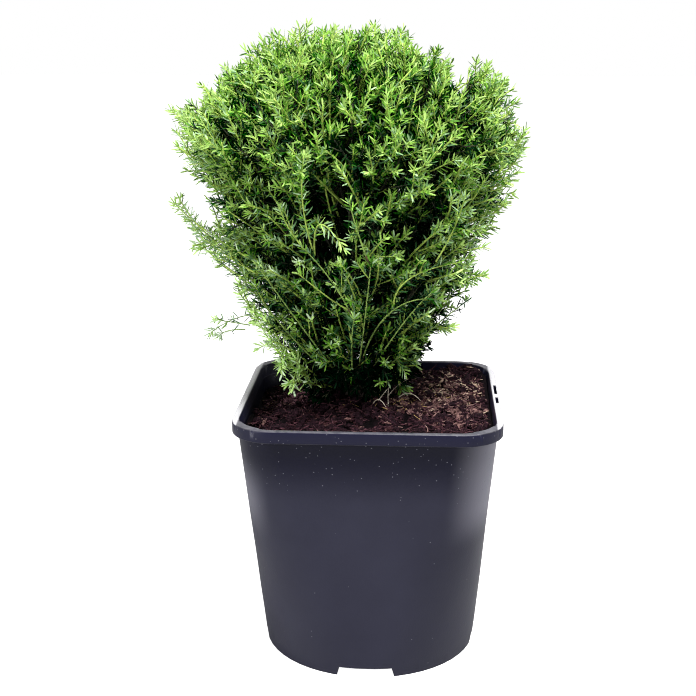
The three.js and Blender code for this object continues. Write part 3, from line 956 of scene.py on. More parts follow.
@dataclass
class PottingMix:
    """Fibrous peat: an uneven ground with crumbs, chips and fibres that lie on it."""

    pot: NurseryPot
    plant: Span = (-10 * MM, 10 * MM)
    below_rim: float = 9 * MM
    mound: float = 4 * MM
    heap: float = 4.5 * MM  # extra height in the back right corner
    dip: float = 9 * MM  # how much lower the ground lies in the back left corner
    unevenness: float = 3.6 * MM
    rings: int = 46
    sides_cut: int = 5
    crumbs: int = 3000
    chips: int = 300
    fibres: int = 2800
    straws: int = 130
    bareness: float = -0.06  # noise below this marks bare patches, where the near-black peat shows as painted shade between the litter
    right: Triple = (44 * MM, 2 * MM, 19 * MM)  # x, y and spread of a gathering, as in the next three
    left: Triple = (-52 * MM, 14 * MM, 13 * MM)
    back_right: Triple = (42 * MM, 24 * MM, 19 * MM)
    foot: Triple = (14 * MM, -2 * MM, 12 * MM)
    seed: int = 21

    @property
    def edge(self) -> float:
        """Height of the ground at the pot's wall."""
        return self.pot.height - self.below_rim

    def half_width(self) -> float:
        """Half the inside width of the pot at the ground."""
        return self.pot.shoulder_half - self.pot.wall - 0.3 * MM

    def height_at(self, x: Rows, y: Rows) -> Rows:
        """Height of the ground.

        Args:
            x: Places to the right.
            y: Places to the back.

        Returns:
            The heights.
        """
        half = self.half_width()
        dx, dy = x - self.plant[0], y - self.plant[1]
        share = np.maximum(np.abs(dx) / (half - np.sign(dx) * self.plant[0]),
                           np.abs(dy) / (half - np.sign(dy) * self.plant[1]))
        rise = self.mound * np.sin(clamp(1.0 - share) * math.pi / 2)
        flat = on_plane(x, y)
        lumps = noise_field(flat, 70.0, 2, 9.1) + 0.5 * noise_field(flat, 240.0, 2, 4.4)
        heap = self.heap * clamp(0.3 + x / half) * clamp(0.35 + y / half)
        dip = self.dip * np.clip(-0.35 - x / half, 0.0, 0.5) * clamp(0.5 + y / half) * 2.0
        return self.edge + rise + heap - dip + lumps * self.unevenness

    def inside(self, points: Rows, margin: float) -> Rows:
        """Tells which places lie inside the pot's walls by a margin.

        Args:
            points: Places, one row each.
            margin: Least distance from the wall.

        Returns:
            True for each place inside.
        """
        half = self.half_width() - margin
        corner = self.pot.shoulder_corner - margin
        past = np.maximum(np.abs(points[:, :2]) - (half - corner), 0.0)
        return np.linalg.norm(past, axis=1) < corner

    def build_ground(self, material: Material) -> Piece:
        """Models the ground as a plug that fills the pot, its top drawn inwards ring by ring and made uneven.

        Args:
            material: Its peat.

        Returns:
            The ground.
        """
        inset = self.pot.wall + 0.4 * MM
        plug = self.pot.skin(inset, self.pot.floor_under + self.pot.floor_thickness, self.edge)
        with editing(plug, below(self.pot.floor_under + 2 * MM)):
            bpy.ops.mesh.edge_face_add()
        with editing(plug, above(self.edge - NEAR)):
            bpy.ops.mesh.subdivide(number_cuts=self.sides_cut)
            for ring in range(self.rings):
                extrude_loop(0.0, (self.rings - ring - 1 + 0.02) / (self.rings - ring + 0.02))
            bpy.ops.mesh.merge(type="CENTER")
            bpy.ops.mesh.select_all(action="SELECT")
            bpy.ops.mesh.normals_make_consistent(inside=False)
        points = points_of(plug)
        top = points[:, 2] > self.edge - NEAR
        points[top, 2] = self.height_at(points[top, 0], points[top, 1])
        move_points(plug, points)
        return clad(plug, "ground", material, 50.0)

    def scatter(self, count: int, random: Random, margin: float,
                near: Triple | None = None) -> Rows:
        """Strews places on the ground.

        Args:
            count: How many.
            random: Source of chance.
            margin: Least distance from the wall.
            near: Where they gather: x, y and the spread, or all over.

        Returns:
            Places on the surface, one row each.
        """
        half = self.half_width()
        if near is None:
            flat = random.uniform(-half, half, (3 * count, 2))
        else:
            flat = np.array(near[:2]) + random.normal(0.0, near[2], (3 * count, 2))
        flat = flat[self.inside(flat, margin)]
        bare = noise_field(on_plane(*flat.T), 190.0, 2, 6.6) < self.bareness
        flat = flat[~bare][:count]
        return np.column_stack([flat, self.height_at(flat[:, 0], flat[:, 1])])

    def build_crumbs(self, name: str, count: int, size: Span, stretch: Triple, material: Material, seed: int,
                     near: Triple | None = None) -> Piece:
        """Strews rough lumps, all made from one small sphere.

        Args:
            name: The piece's name.
            count: How many lumps.
            size: Least and largest radius.
            stretch: Their proportions along, across and up.
            material: Their material.
            seed: Seed of chance.
            near: Where they gather: x, y and the spread, or all over.

        Returns:
            One joined mesh.
        """
        deselect_all()
        bpy.ops.mesh.primitive_ico_sphere_add(subdivisions=1, radius=1.0)
        master = bpy.context.active_object
        corners = points_of(master)
        faces = np.array([f.vertices for f in master.data.polygons])
        bpy.data.objects.remove(master)
        random = np.random.default_rng(seed)
        places = self.scatter(count, random, 3 * MM, near)
        count = len(places)
        shapes = corners[None] * random.uniform(0.6, 1.25, (count, len(corners), 1)) * np.array(stretch)
        turn = random.uniform(0.0, 2 * math.pi, count)
        tilt = random.normal(0.0, 0.5, count)
        lumps = turned(turned(shapes, 0, 2, tilt), 0, 1, turn)
        radius = size[0] + (size[1] - size[0]) * random.random(count) ** 2.2
        points = places[:, None] + lumps * radius[:, None, None]
        points[..., 2] += (0.25 * radius)[:, None]
        piece = mesh_from_arrays(name, points.reshape(-1, 3), copies(faces, count, len(corners)), material)
        piece.data.polygons.foreach_set("use_smooth", np.zeros(len(piece.data.polygons), bool))
        return piece

    def build_fibres(self, name: str, count: int, length: Span, thickness: float, material: Material, seed: int,
                     near: Triple | None = None) -> Piece:
        """Strews curved fibres on the ground.

        Args:
            name: The piece's name.
            count: How many fibres.
            length: Least and largest length.
            thickness: Their diameter.
            material: Their material.
            seed: Seed of chance.
            near: Where they gather: x, y and the spread, or all over.

        Returns:
            One joined mesh.
        """
        random = np.random.default_rng(seed)
        places = self.scatter(count, random, 4 * MM, near)
        count = len(places)
        bearing = random.uniform(0.0, 2 * math.pi, count)
        rise = random.normal(0.15, 0.42, count)
        ahead = np.column_stack([np.cos(bearing), np.sin(bearing), rise])
        aside = np.column_stack([-np.sin(bearing), np.cos(bearing), np.zeros(count)])
        span = random.uniform(length[0], length[1], count)
        bow = aside * (random.normal(0.0, 0.25, count) * span)[:, None]
        middle = places + bow + UP * (0.12 * span + 0.4 * MM)[:, None]
        start = places - ahead * (span / 2)[:, None]
        end = places + ahead * (span / 2)[:, None]
        for tip in (start, end):
            keep = self.inside(tip, 1.5 * MM)
            tip[~keep] = places[~keep]
            tip[:, 2] = np.maximum(tip[:, 2], self.height_at(tip[:, 0], tip[:, 1]))
        return Limbs.alike(start, middle, end, thickness / 2, 0.3 * thickness).mesh(name, material, 3, 5)

    def build(self) -> list[Piece]:
        """Builds the ground and all that lies on it.

        Returns:
            The pieces.
        """
        # The peat's near-black colour is partly its own, partly painted shade for the gaps between the litter.
        peat = EarthFinish("peat", (0.0008, 0.0003, 0.0006, 1.0), (0.006, 0.0022, 0.004, 1.0)).make()
        crumb_dark = EarthFinish("peat_crumb", (0.002, 0.0006, 0.0014, 1.0), (0.034, 0.013, 0.020, 1.0), 900.0).make()
        crumb_red = EarthFinish("peat_clod", (0.008, 0.002, 0.004, 1.0), (0.095, 0.038, 0.042, 1.0), 900.0).make()
        chip = EarthFinish("bark_chip", (0.030, 0.011, 0.013, 1.0), (0.260, 0.145, 0.130, 1.0), 500.0, 0.0003).make()
        pale = EarthFinish("pale_clod", (0.180, 0.095, 0.075, 1.0), (0.720, 0.520, 0.420, 1.0), 500.0).make()
        dark, russet, brown, tan = [
            EarthFinish(f"{name}_fibre", low, high, scale, 0.0001).make() for name, low, high, scale in (
                ("dark", (0.010, 0.003, 0.006, 1.0), (0.115, 0.046, 0.058, 1.0), 400.0),
                ("russet", (0.050, 0.020, 0.030, 1.0), (0.420, 0.210, 0.250, 1.0), 420.0),
                ("brown", (0.050, 0.021, 0.024, 1.0), (0.400, 0.240, 0.215, 1.0), 420.0),
                ("tan", (0.300, 0.190, 0.140, 1.0), (0.850, 0.680, 0.500, 1.0), 420.0))]
        straw = NeedleTone.STRAW.make()
        some, few = self.crumbs // 3, self.crumbs // 8
        lumps = (
            ("peat_crumbs", self.crumbs, (0.6 * MM, 3.0 * MM), (1.3, 1.0, 0.9), crumb_dark, 0, None),
            ("peat_clods", some, (0.6 * MM, 2.4 * MM), (1.2, 1.0, 0.8), crumb_red, 1, None),
            ("bark_chips", self.chips, (0.7 * MM, 2.4 * MM), (2.2, 0.9, 0.35), chip, 2, None),
            ("brown_clods", some, (0.5 * MM, 2.2 * MM), (1.6, 0.9, 0.8), chip, 7, self.right),
            ("pale_clods", few, (0.5 * MM, 2.0 * MM), (1.7, 0.9, 0.7), pale, 8, self.back_right),
        )
        threads = (
            ("dark_fibres", self.fibres, (3 * MM, 11 * MM), 0.7 * MM, dark, 3, None),
            ("brown_fibres", self.fibres // 3, (3 * MM, 8 * MM), 0.95 * MM, brown, 4, self.right),
            ("russet_fibres", self.fibres // 4, (3 * MM, 8 * MM), 0.8 * MM, russet, 9, self.left),
            ("tan_fibres", self.fibres // 4, (2.5 * MM, 7 * MM), 0.95 * MM, tan, 5, self.back_right),
            ("straw_needles", self.straws, (4 * MM, 8 * MM), 0.7 * MM, straw, 6, self.foot),
        )
        pieces = [self.build_ground(peat)]
        pieces += [self.build_crumbs(*row, self.seed + more, near) for *row, more, near in lumps]
        pieces += [self.build_fibres(*row, self.seed + more, near) for *row, more, near in threads]
        return pieces


# ---- Limbs: curves and tubes ----


@dataclass
class Limbs:
    """Many curved limbs at once, each one quadratic curve with a radius at its root and at its tip."""

    start: Rows
    middle: Rows
    end: Rows
    root_radius: Rows
    tip_radius: Rows

    @classmethod
    def alike(cls, start: Rows, middle: Rows, end: Rows, root_radius: float, tip_radius: float) -> Limbs:
        """Makes limbs of one thickness.

        Args:
            start: Their roots.
            middle: The middle points of their curves.
            end: Their tips.
            root_radius: Radius of each at its root.
            tip_radius: Radius of each at its tip.

        Returns:
            The limbs.
        """
        count = len(start)
        return cls(start, middle, end, np.full(count, root_radius), np.full(count, tip_radius))

    @property
    def parts(self) -> tuple[Rows, ...]:
        """The five arrays in their order."""
        return self.start, self.middle, self.end, self.root_radius, self.tip_radius

    def __len__(self) -> int:
        """Number of limbs."""
        return len(self.start)

    def at(self, which: Rows, share: Rows) -> Rows:
        """Points on limbs.

        Args:
            which: Number of the limb for each point.
            share: How far along the limb, 0 to 1.

        Returns:
            The points.
        """
        s = share[:, None]
        return (1 - s) ** 2 * self.start[which] + 2 * s * (1 - s) * self.middle[which] + s ** 2 * self.end[which]

    def heading(self, which: Rows, share: Rows) -> Rows:
        """Directions of limbs at shares of their length.

        Args:
            which: Number of the limb for each direction.
            share: How far along the limb, 0 to 1.

        Returns:
            The directions.
        """
        s = share[:, None]
        lower = self.middle[which] - self.start[which]
        upper = self.end[which] - self.middle[which]
        return unit((1 - s) * lower + s * upper + 1e-9)

    def lengths(self) -> Rows:
        """Rough length of each limb.

        Returns:
            One length per limb.
        """
        chord = np.linalg.norm(self.end - self.start, axis=1)
        legs = np.linalg.norm(self.middle - self.start, axis=1) + np.linalg.norm(self.end - self.middle, axis=1)
        return (chord + legs) / 2

    def chosen(self, keep: Rows) -> Limbs:
        """The limbs that a mask or a list picks."""
        return Limbs(*[part[keep] for part in self.parts])

    def split(self, share: float) -> tuple[Limbs, Limbs]:
        """Parts every limb in two at a share of its curve.

        Args:
            share: Where it is parted.

        Returns:
            The lower and the upper parts.
        """
        low = self.start + (self.middle - self.start) * share
        high = self.middle + (self.end - self.middle) * share
        cut = low + (high - low) * share
        radius = self.root_radius + (self.tip_radius - self.root_radius) * share
        lower = Limbs(self.start, low, cut, self.root_radius, radius)
        return lower, Limbs(cut, high, self.end, radius, self.tip_radius)

    def joined(self, more: Limbs) -> Limbs:
        """These limbs and others together."""
        return Limbs(*[np.concatenate(pair) for pair in zip(self.parts, more.parts)])

    def tubes(self, sides: int, steps: int, relief: float = 0.0) -> tuple[Rows, Rows]:
        """Wraps each limb in a tapering tube with pointed ends.

        Args:
            sides: Number of sides.
            steps: Number of lengths.
            relief: Roughness of the surface as a share of the radius.

        Returns:
            Points and triangles of all tubes together.
        """
        count = len(self)
        which = np.repeat(np.arange(count), steps + 1)
        share = np.tile(np.linspace(0.0, 1.0, steps + 1), count)
        centre = self.at(which, share)
        along = self.heading(which, share)
        side = unit(np.cross(along, np.array([0.31, 0.87, 0.38])))
        other = np.cross(along, side)
        radius = self.root_radius[which] * (1 - share) + self.tip_radius[which] * share
        angle = 2 * math.pi * np.arange(sides) / sides
        rings = (centre[:, None] + radius[:, None, None] * (
            np.cos(angle)[None, :, None] * side[:, None] + np.sin(angle)[None, :, None] * other[:, None]))
        if relief > 0.0:
            rough = noise_field(rings.reshape(-1, 3), 420.0, 3, 1.3).reshape(rings.shape[:2])
            rings += (rings - centre[:, None]) * (relief * rough)[..., None]
        caps = np.stack([self.start, self.end], axis=1)
        points = np.concatenate([rings.reshape(count, -1, 3), caps], axis=1)
        faces = []
        for step in range(steps):
            for i in range(sides):
                a, b = step * sides + i, step * sides + (i + 1) % sides
                faces += [(a, b, b + sides), (a, b + sides, a + sides)]
        root, tip = (steps + 1) * sides, (steps + 1) * sides + 1
        for i in range(sides):
            nxt = (i + 1) % sides
            faces += [(root, nxt, i), (tip, steps * sides + i, steps * sides + nxt)]
        return points.reshape(-1, 3), copies(np.array(faces), count, points.shape[1])

    def mesh(self, name: str, material: Material, sides: int, steps: int, relief: float = 0.0) -> Piece:
        """Makes one object of all the limbs.

        Args:
            name: Its name.
            material: Its material.
            sides: Number of sides of each tube.
            steps: Number of lengths.
            relief: Roughness of the surface as a share of the radius.

        Returns:
            The object.
        """
        return mesh_from_arrays(name, *self.tubes(sides, steps, relief), material)


# ---- Crown ----


class Chance:
    """The seeded source of numbers that the part's own rule uses, so that both divide the crown alike."""

    def __init__(self, seed: int) -> None:
        """Starts from a seed."""
        self.state = seed & 0xFFFFFFFF

    def next(self) -> float:
        """The next number, 0 to 1.

        Returns:
            The number.
        """
        self.state = (self.state + 0x6D2B79F5) & 0xFFFFFFFF
        t = self.state
        t = ((t ^ (t >> 15)) * (t | 1)) & 0xFFFFFFFF
        t ^= (t + (((t ^ (t >> 7)) * (t | 61)) & 0xFFFFFFFF)) & 0xFFFFFFFF
        return ((t ^ (t >> 14)) & 0xFFFFFFFF) / 4294967296.0


@dataclass(frozen=True)
class Hollow:
    """A dent in the crown's outline: azimuth in degrees, height, width and depth in mm."""

    azimuth: float
    height: float
    width: float
    depth: float


@dataclass(frozen=True)
class Clearing:
    """A space without foliage: azimuth in degrees, height and reach of its middle, and its half sizes in mm."""

    azimuth: float
    height: float
    reach: float
    half: Triple


@dataclass(frozen=True)
class Swell(Clearing):
    """A place where the outline swells by the push in mm, or sinks if it is negative."""

    push: float


class ShootKind(Enum):
    """How a shoot with a place of its own is clad: its radius in metres, side shoots, brightness and pitch. A
    brightness above 1 is painted light that lifts a shoot above its neighbours, most of all low in the crown's shade.
    """

    RIB = (0.48 * MM, 5, 0.85, 3.8 * MM)
    LEAFY = (0.50 * MM, 5, 1.60, 2.6 * MM)
    TUFT = (0.50 * MM, 6, 3.10, 2.4 * MM)
    ARCH = (0.50 * MM, 3, 1.00, 3.2 * MM)
    SPEAR = (0.45 * MM, 0, 1.60, 2.6 * MM)
    WISP = (0.40 * MM, 0, 1.50, 5.0 * MM)
    STRAW = (0.30 * MM, 0, -9.0, 40 * MM)


@dataclass(frozen=True)
class SetShoot:
    """A shoot with a place of its own: azimuth in degrees, height and reach in mm of its root, bend and tip."""

    kind: ShootKind
    root: Triple
    bend: Triple
    tip: Triple


@dataclass(frozen=True)
class Sprig:
    """A long shoot that stands out: azimuth in degrees, height and distance of its tip from the axis in mm."""

    azimuth: float
    height: float
    reach: float


@dataclass(frozen=True)
class Ring:
    """One ring of masses: how many, the polar angles of their middles and leaders, and their forks."""

    name: str
    count: int
    polar: float
    leader_polar: float
    turn: float
    fork_height: float
    root_radius: float


@dataclass
class Cell:
    """The space of one mass of foliage and the line of its leader."""

    name: str
    axis: Rows
    leader: Rows
    azimuth: float
    fork_height: float
    root_radius: float


@dataclass
class Crown:
    """The crown's outline, and the cones of space that its masses keep to."""

    plant: Span = (-10 * MM, 10 * MM)
    soil: float = 146 * MM
    apex_depth: float = 60 * MM
    foot: float = 9 * MM
    foot_radius: float = 22 * MM
    belly_height: float = 153 * MM
    belly_radius: float = 100 * MM
    cup_power: float = 0.7
    dome_height: float = 63 * MM
    lean: float = -5 * MM
    turn_jitter: float = 4.0
    fork_stagger: float = 1 * MM
    stem_height: float = 12 * MM
    stem_lean: float = 1 * MM
    bough_enters: float = 18 * MM
    bough_rise: float = 0.4
    bough_tip: float = 1.2 * MM
    rings: tuple[Ring, ...] = (
        Ring("center", 1, 0.0, 0.0, 0.0, 11 * MM, 2.2 * MM),
        Ring("inner", 5, 10.5, 10.5, -70.0, 8.3 * MM, 1.7 * MM),
        Ring("outer", 9, 20.5, 17.5, -90.0, 3.4 * MM, 1.5 * MM),
    )
    hollows: tuple[Hollow, ...] = (
        Hollow(-97.0, 118, 20, 15),
        Hollow(8.0, 196, 13, 14),
    )
    sprigs: tuple[Sprig, ...] = (
        Sprig(177.0, 168, 100),
        Sprig(200.0, 96, 93),
        Sprig(-12.0, 158, 99),
        Sprig(-20.0, 80, 80),
        Sprig(-30.0, 52, 68),
    )
    clearings: tuple[Clearing, ...] = (
        Clearing(-94.0, 121, 84, (9.5, 30, 16)),
        Clearing(-97.0, 104, 76, (7, 20, 9)),
        Clearing(0.0, 193, 64, (5, 60, 14)),
        Clearing(180.0, 124, 92, (14, 60, 5.5)),
        Clearing(180.0, 112, 83, (5, 50, 6)),
        Clearing(180.0, 96, 96, (9, 50, 5)),
    )
    swells: tuple[Swell, ...] = (
        Swell(180.0, 188, 84, (24, 70, 16), -10),
        Swell(0.0, 207, 66, (26, 60, 12), -7),
        Swell(0.0, 120, 92, (24, 70, 22), 7),
        Swell(0.0, 82, 76, (24, 60, 20), 6),
        Swell(0.0, 180, 84, (16, 50, 14), 5),
        Swell(180.0, 76, 70, (24, 50, 15), 9),
        Swell(180.0, 145, 98, (24, 50, 10), -5),
    )
    set_shoots: tuple[SetShoot, ...] = tuple(SetShoot(kind, *line) for kind, lines in (
        (ShootKind.RIB, (
            ((-88, 6, 8), (-88, 42, 52), (-86, 64, 65)), ((-86, 60, 62), (-94, 83, 73), (-105, 105, 82)),
            ((-104, 6, 9), (-114, 54, 59), (-131, 97, 79)), ((-112, 8, 9), (-126, 50, 57), (-146, 92, 76)),
            ((-82, 6, 8), (-81, 58, 60), (-79, 96, 76)), ((-79, 92, 75), (-84, 112, 84), (-87, 130, 91)),
            ((-80, 8, 10), (-71, 62, 62), (-42, 70, 68)), ((-70, 6, 9), (-62, 54, 59), (-47, 76, 69)),
            ((-60, 6, 9), (-44, 46, 55), (-8, 62, 68)),
        )),
        (ShootKind.LEAFY, (
            ((-104, 102, 80), (-109, 116, 86), (-111, 126, 88)), ((-140, 86, 70), (-160, 98, 82), (178, 106, 96)),
            ((-142, 90, 74), (-162, 106, 88), (-179, 119, 99)), ((-134, 84, 70), (-150, 94, 80), (-168, 104, 91)),
            ((-146, 78, 68), (-162, 86, 78), (-176, 94, 88)), ((6, 164, 68), (4, 182, 71), (2, 196, 72)),
            ((-8, 162, 68), (-7, 178, 74), (-4, 193, 78)), ((12, 160, 70), (9, 174, 78), (6, 184, 84)),
        )),
        (ShootKind.ARCH, (
            ((-88, 68, 66), (-98, 76, 69), (-109, 89, 75)), ((-101, 100, 78), (-97, 118, 88), (-89, 105, 86)),
            ((-67, 71, 66), (-61, 86, 73), (-37, 91, 77)), ((-51, 94, 77), (-47, 112, 85), (-46, 130, 92)),
            ((-22, 158, 72), (-20, 174, 78), (-14, 186, 82)),
        )),
        (ShootKind.TUFT, (
            ((-128, 8, 14), (-137, 28, 47), (-152, 58, 62)), ((-138, 30, 46), (-148, 48, 56), (-160, 68, 68)),
            ((-134, 22, 38), (-139, 33, 50), (-136, 24, 54)), ((-130, 30, 40), (-137, 40, 52), (-143, 42, 58)),
            ((-130, 16, 32), (-134, 26, 46), (-138, 30, 54)), ((-124, 12, 28), (-130, 18, 44), (-134, 18, 52)),
            ((-126, 20, 34), (-132, 26, 44), (-131, 14, 50)), ((-132, 24, 42), (-142, 38, 52), (-152, 36, 60)),
            ((-136, 92, 72), (-156, 105, 86), (-178, 116, 102)),
        )),
        (ShootKind.WISP, (
            ((-149, 54, 54), (-172, 50, 66), (180, 37, 86)), ((-160, 48, 62), (-172, 47, 72), (180, 46, 82)),
            ((-166, 44, 64), (-174, 41, 74), (-179, 36, 80)),
        )),
        (ShootKind.SPEAR, (
            ((-101, 104, 82), (-102, 130, 92), (-100, 154, 98)),
        )),
        (ShootKind.STRAW, (
            ((-62, 6, 32), (-58, 10, 34), (-56, 14, 37)), ((-52, 2, 34), (-51, 10, 33), (-49, 18, 34)),
            ((-46, 7, 30), (-41, 13, 34), (-36, 18, 40)), ((-66, 4, 30), (-64, 8, 36), (-62, 5, 42)),
            ((-38, 6, 34), (-34, 9, 40), (-31, 5, 46)),
        )),
    ) for line in lines)
    cells: list[Cell] = field(default_factory=list)

    def __post_init__(self) -> None:
        """Divides the crown into its cells."""
        chance = Chance(5)
        for ring in self.rings:
            for i in range(ring.count):
                stray = (chance.next() - 0.5) * 2 * self.turn_jitter
                azimuth = math.radians(ring.turn + 360.0 * i / ring.count + stray)
                name = ring.name if ring.count == 1 else f"{ring.name}_{i + 1}"
                axis, leader = (self.direction(polar, azimuth) for polar in (ring.polar, ring.leader_polar))
                fork = ring.fork_height - (i % 2) * self.fork_stagger
                self.cells.append(Cell(name, axis, leader, azimuth, fork, ring.root_radius))

    @staticmethod
    def direction(polar: float, azimuth: float) -> Rows:
        """The direction at a polar angle in degrees and an azimuth in radians."""
        tilt = math.radians(polar)
        return np.array([math.sin(tilt) * math.cos(azimuth), math.sin(tilt) * math.sin(azimuth), math.cos(tilt)])

    @property
    def top(self) -> float:
        """Height of the crown above the ground."""
        return self.belly_height + self.dome_height

    @property
    def apex(self) -> Rows:
        """The point under the ground where the cones meet."""
        return np.array([self.plant[0], self.plant[1], self.soil - self.apex_depth])

    def outline_radius(self, height: Rows) -> Rows:
        """Radius of the crown's outline at heights above the ground, before hollows.

        Args:
            height: Heights above the ground.

        Returns:
            One radius per height.
        """
        share = clamp(height / self.belly_height)
        cup = self.foot_radius + (self.belly_radius - self.foot_radius) * share ** self.cup_power
        rise = clamp((height - self.belly_height) / self.dome_height)
        return np.where(height <= self.belly_height, cup, self.belly_radius * np.sqrt(1.0 - rise * rise))

    def share_of_height(self, points: Rows) -> Rows:
        """Heights of points above the ground as shares of the crown's height."""
        return (points[:, 2] - self.soil) / self.top

    def axis_x(self, height: Rows) -> Rows:
        """Sideways place of the crown's leaning axis at heights."""
        return self.plant[0] + self.lean * height / self.top

    def point(self, azimuth: Rows, height: Rows, reach: Rows) -> Rows:
        """Points at azimuths in radians, heights above the ground and distances from the axis."""
        return np.column_stack([self.axis_x(height) + reach * np.cos(azimuth),
                                self.plant[1] + reach * np.sin(azimuth), self.soil + height])

    def depth(self, points: Rows) -> Rows:
        """How far inside the crown's outline points lie.

        Args:
            points: Places, one row each.

        Returns:
            Depths in metres, negative outside.
        """
        height = points[:, 2] - self.soil
        reach = np.hypot(points[:, 0] - self.axis_x(height), points[:, 1] - self.plant[1])
        rise = np.maximum(height - self.belly_height, 0.0)
        scaled = np.hypot(reach / self.belly_radius, rise / self.dome_height)
        dome = (1 - scaled) * np.hypot(reach, rise) / np.maximum(scaled, 0.05)
        depth = np.where(height > self.belly_height, dome, 0.9 * (self.outline_radius(height) - reach))
        for hollow in self.hollows:
            level = np.array([hollow.height * MM])
            middle = self.point(np.radians([hollow.azimuth]), level, self.outline_radius(level))
            away = np.linalg.norm(points - middle, axis=1) / (hollow.width * MM)
            depth = depth - hollow.depth * MM * np.exp(-away * away)
        return np.minimum(depth, height - self.foot)

    def cell_of(self, points: Rows) -> Rows:
        """Number of the cell that each point lies in."""
        axes = np.array([cell.axis for cell in self.cells])
        return np.argmax((points - self.apex) @ axes.T, axis=1)

    def leader_point(self, which: Rows, height: Rows) -> Rows:
        """Points of the cells' leaders at heights above the ground."""
        leaders = np.array([cell.leader for cell in self.cells])[which]
        return self.apex + leaders * ((height + self.apex_depth) / leaders[:, 2])[:, None]

    def leader_top(self, which: int, depth: float) -> float:
        """Greatest height at which a leader is still at a depth inside the outline.

        Args:
            which: Number of the cell.
            depth: Depth inside the outline.

        Returns:
            The height.
        """
        height = self.top
        while self.depth(self.leader_point(np.array([which]), np.array([height])))[0] < depth:
            height -= 1 * MM
        return height

    def sites(self, count: int) -> tuple[Rows, Rows]:
        """Spreads points evenly over the outline by a golden-angle spiral in steps of equal area.

        Args:
            count: How many.

        Returns:
            The points and the outline's outward directions there.
        """
        samples = 1200
        height = self.top - (self.top - self.foot) * (1 - np.linspace(0, 1, samples + 1)) ** 1.6
        radius = self.outline_radius(height)
        rise, out = np.diff(height), np.diff(radius)
        area = np.cumsum((radius[1:] + radius[:-1]) * np.hypot(rise, out))
        band = np.minimum(np.searchsorted(area, (np.arange(count) + 0.5) / count * area[-1]), samples - 1)
        azimuth = np.arange(count) * GOLDEN_ANGLE
        slope = np.arctan2(out[band], rise[band])
        normal = np.column_stack([np.cos(slope) * np.cos(azimuth), np.cos(slope) * np.sin(azimuth), -np.sin(slope)])
        tip = self.point(azimuth, height[band + 1], radius[band + 1])
        tip += normal * np.minimum(0.0, self.depth(tip))[:, None]
        return tip, normal

    def away_from(self, space: Clearing, points: Rows) -> Rows:
        """Distances of points from the middle of a space, counted in its half sizes."""
        middle = self.point(np.radians([space.azimuth]), np.array([space.height * MM]), np.array([space.reach * MM]))
        return np.linalg.norm((points - middle) / (np.array(space.half) * MM), axis=1)

    def cleared(self, points: Rows) -> Rows:
        """Tells which points lie in one of the crown's clearings."""
        return np.any([self.away_from(clearing, points) < 1.0 for clearing in self.clearings], axis=0)

    def swell(self, points: Rows) -> Rows:
        """How far the outline is pushed outwards at points.

        Args:
            points: Places, one row each.

        Returns:
            One distance per place, negative where the outline sinks.
        """
        push = np.zeros(len(points))
        for swell in self.swells:
            away = self.away_from(swell, points)
            push += swell.push * MM * np.exp(-away * away)
        return push

    def placed(self, *kinds: ShootKind) -> tuple[Limbs, list[ShootKind]]:
        """The lines of the shoots that have a place of their own.

        Args:
            kinds: The kinds to take.

        Returns:
            The shoots and the kind of each.
        """
        own = [shoot for shoot in self.set_shoots if shoot.kind in kinds]
        root, bend, tip = [
            self.point(np.radians(row[:, 0]), row[:, 1] * MM, row[:, 2] * MM)
            for row in (np.array([getattr(shoot, part) for shoot in own], float) for part in ("root", "bend", "tip"))]
        radius = np.array([shoot.kind.value[0] for shoot in own])
        return Limbs(root, 2 * bend - (root + tip) / 2, tip, radius, 0.55 * radius), [shoot.kind for shoot in own]

    def sprig_sites(self) -> tuple[Rows, Rows]:
        """Tips and outward directions of the long shoots that stand out.

        Returns:
            The tips and the directions, one row each.
        """
        azimuth = np.radians([s.azimuth for s in self.sprigs])
        height = np.array([s.height for s in self.sprigs]) * MM
        reach = np.array([s.reach for s in self.sprigs]) * MM
        up = np.where(height > self.belly_height, 0.6, 0.0)
        return self.point(azimuth, height, reach), unit(np.column_stack([np.cos(azimuth), np.sin(azimuth), up]))


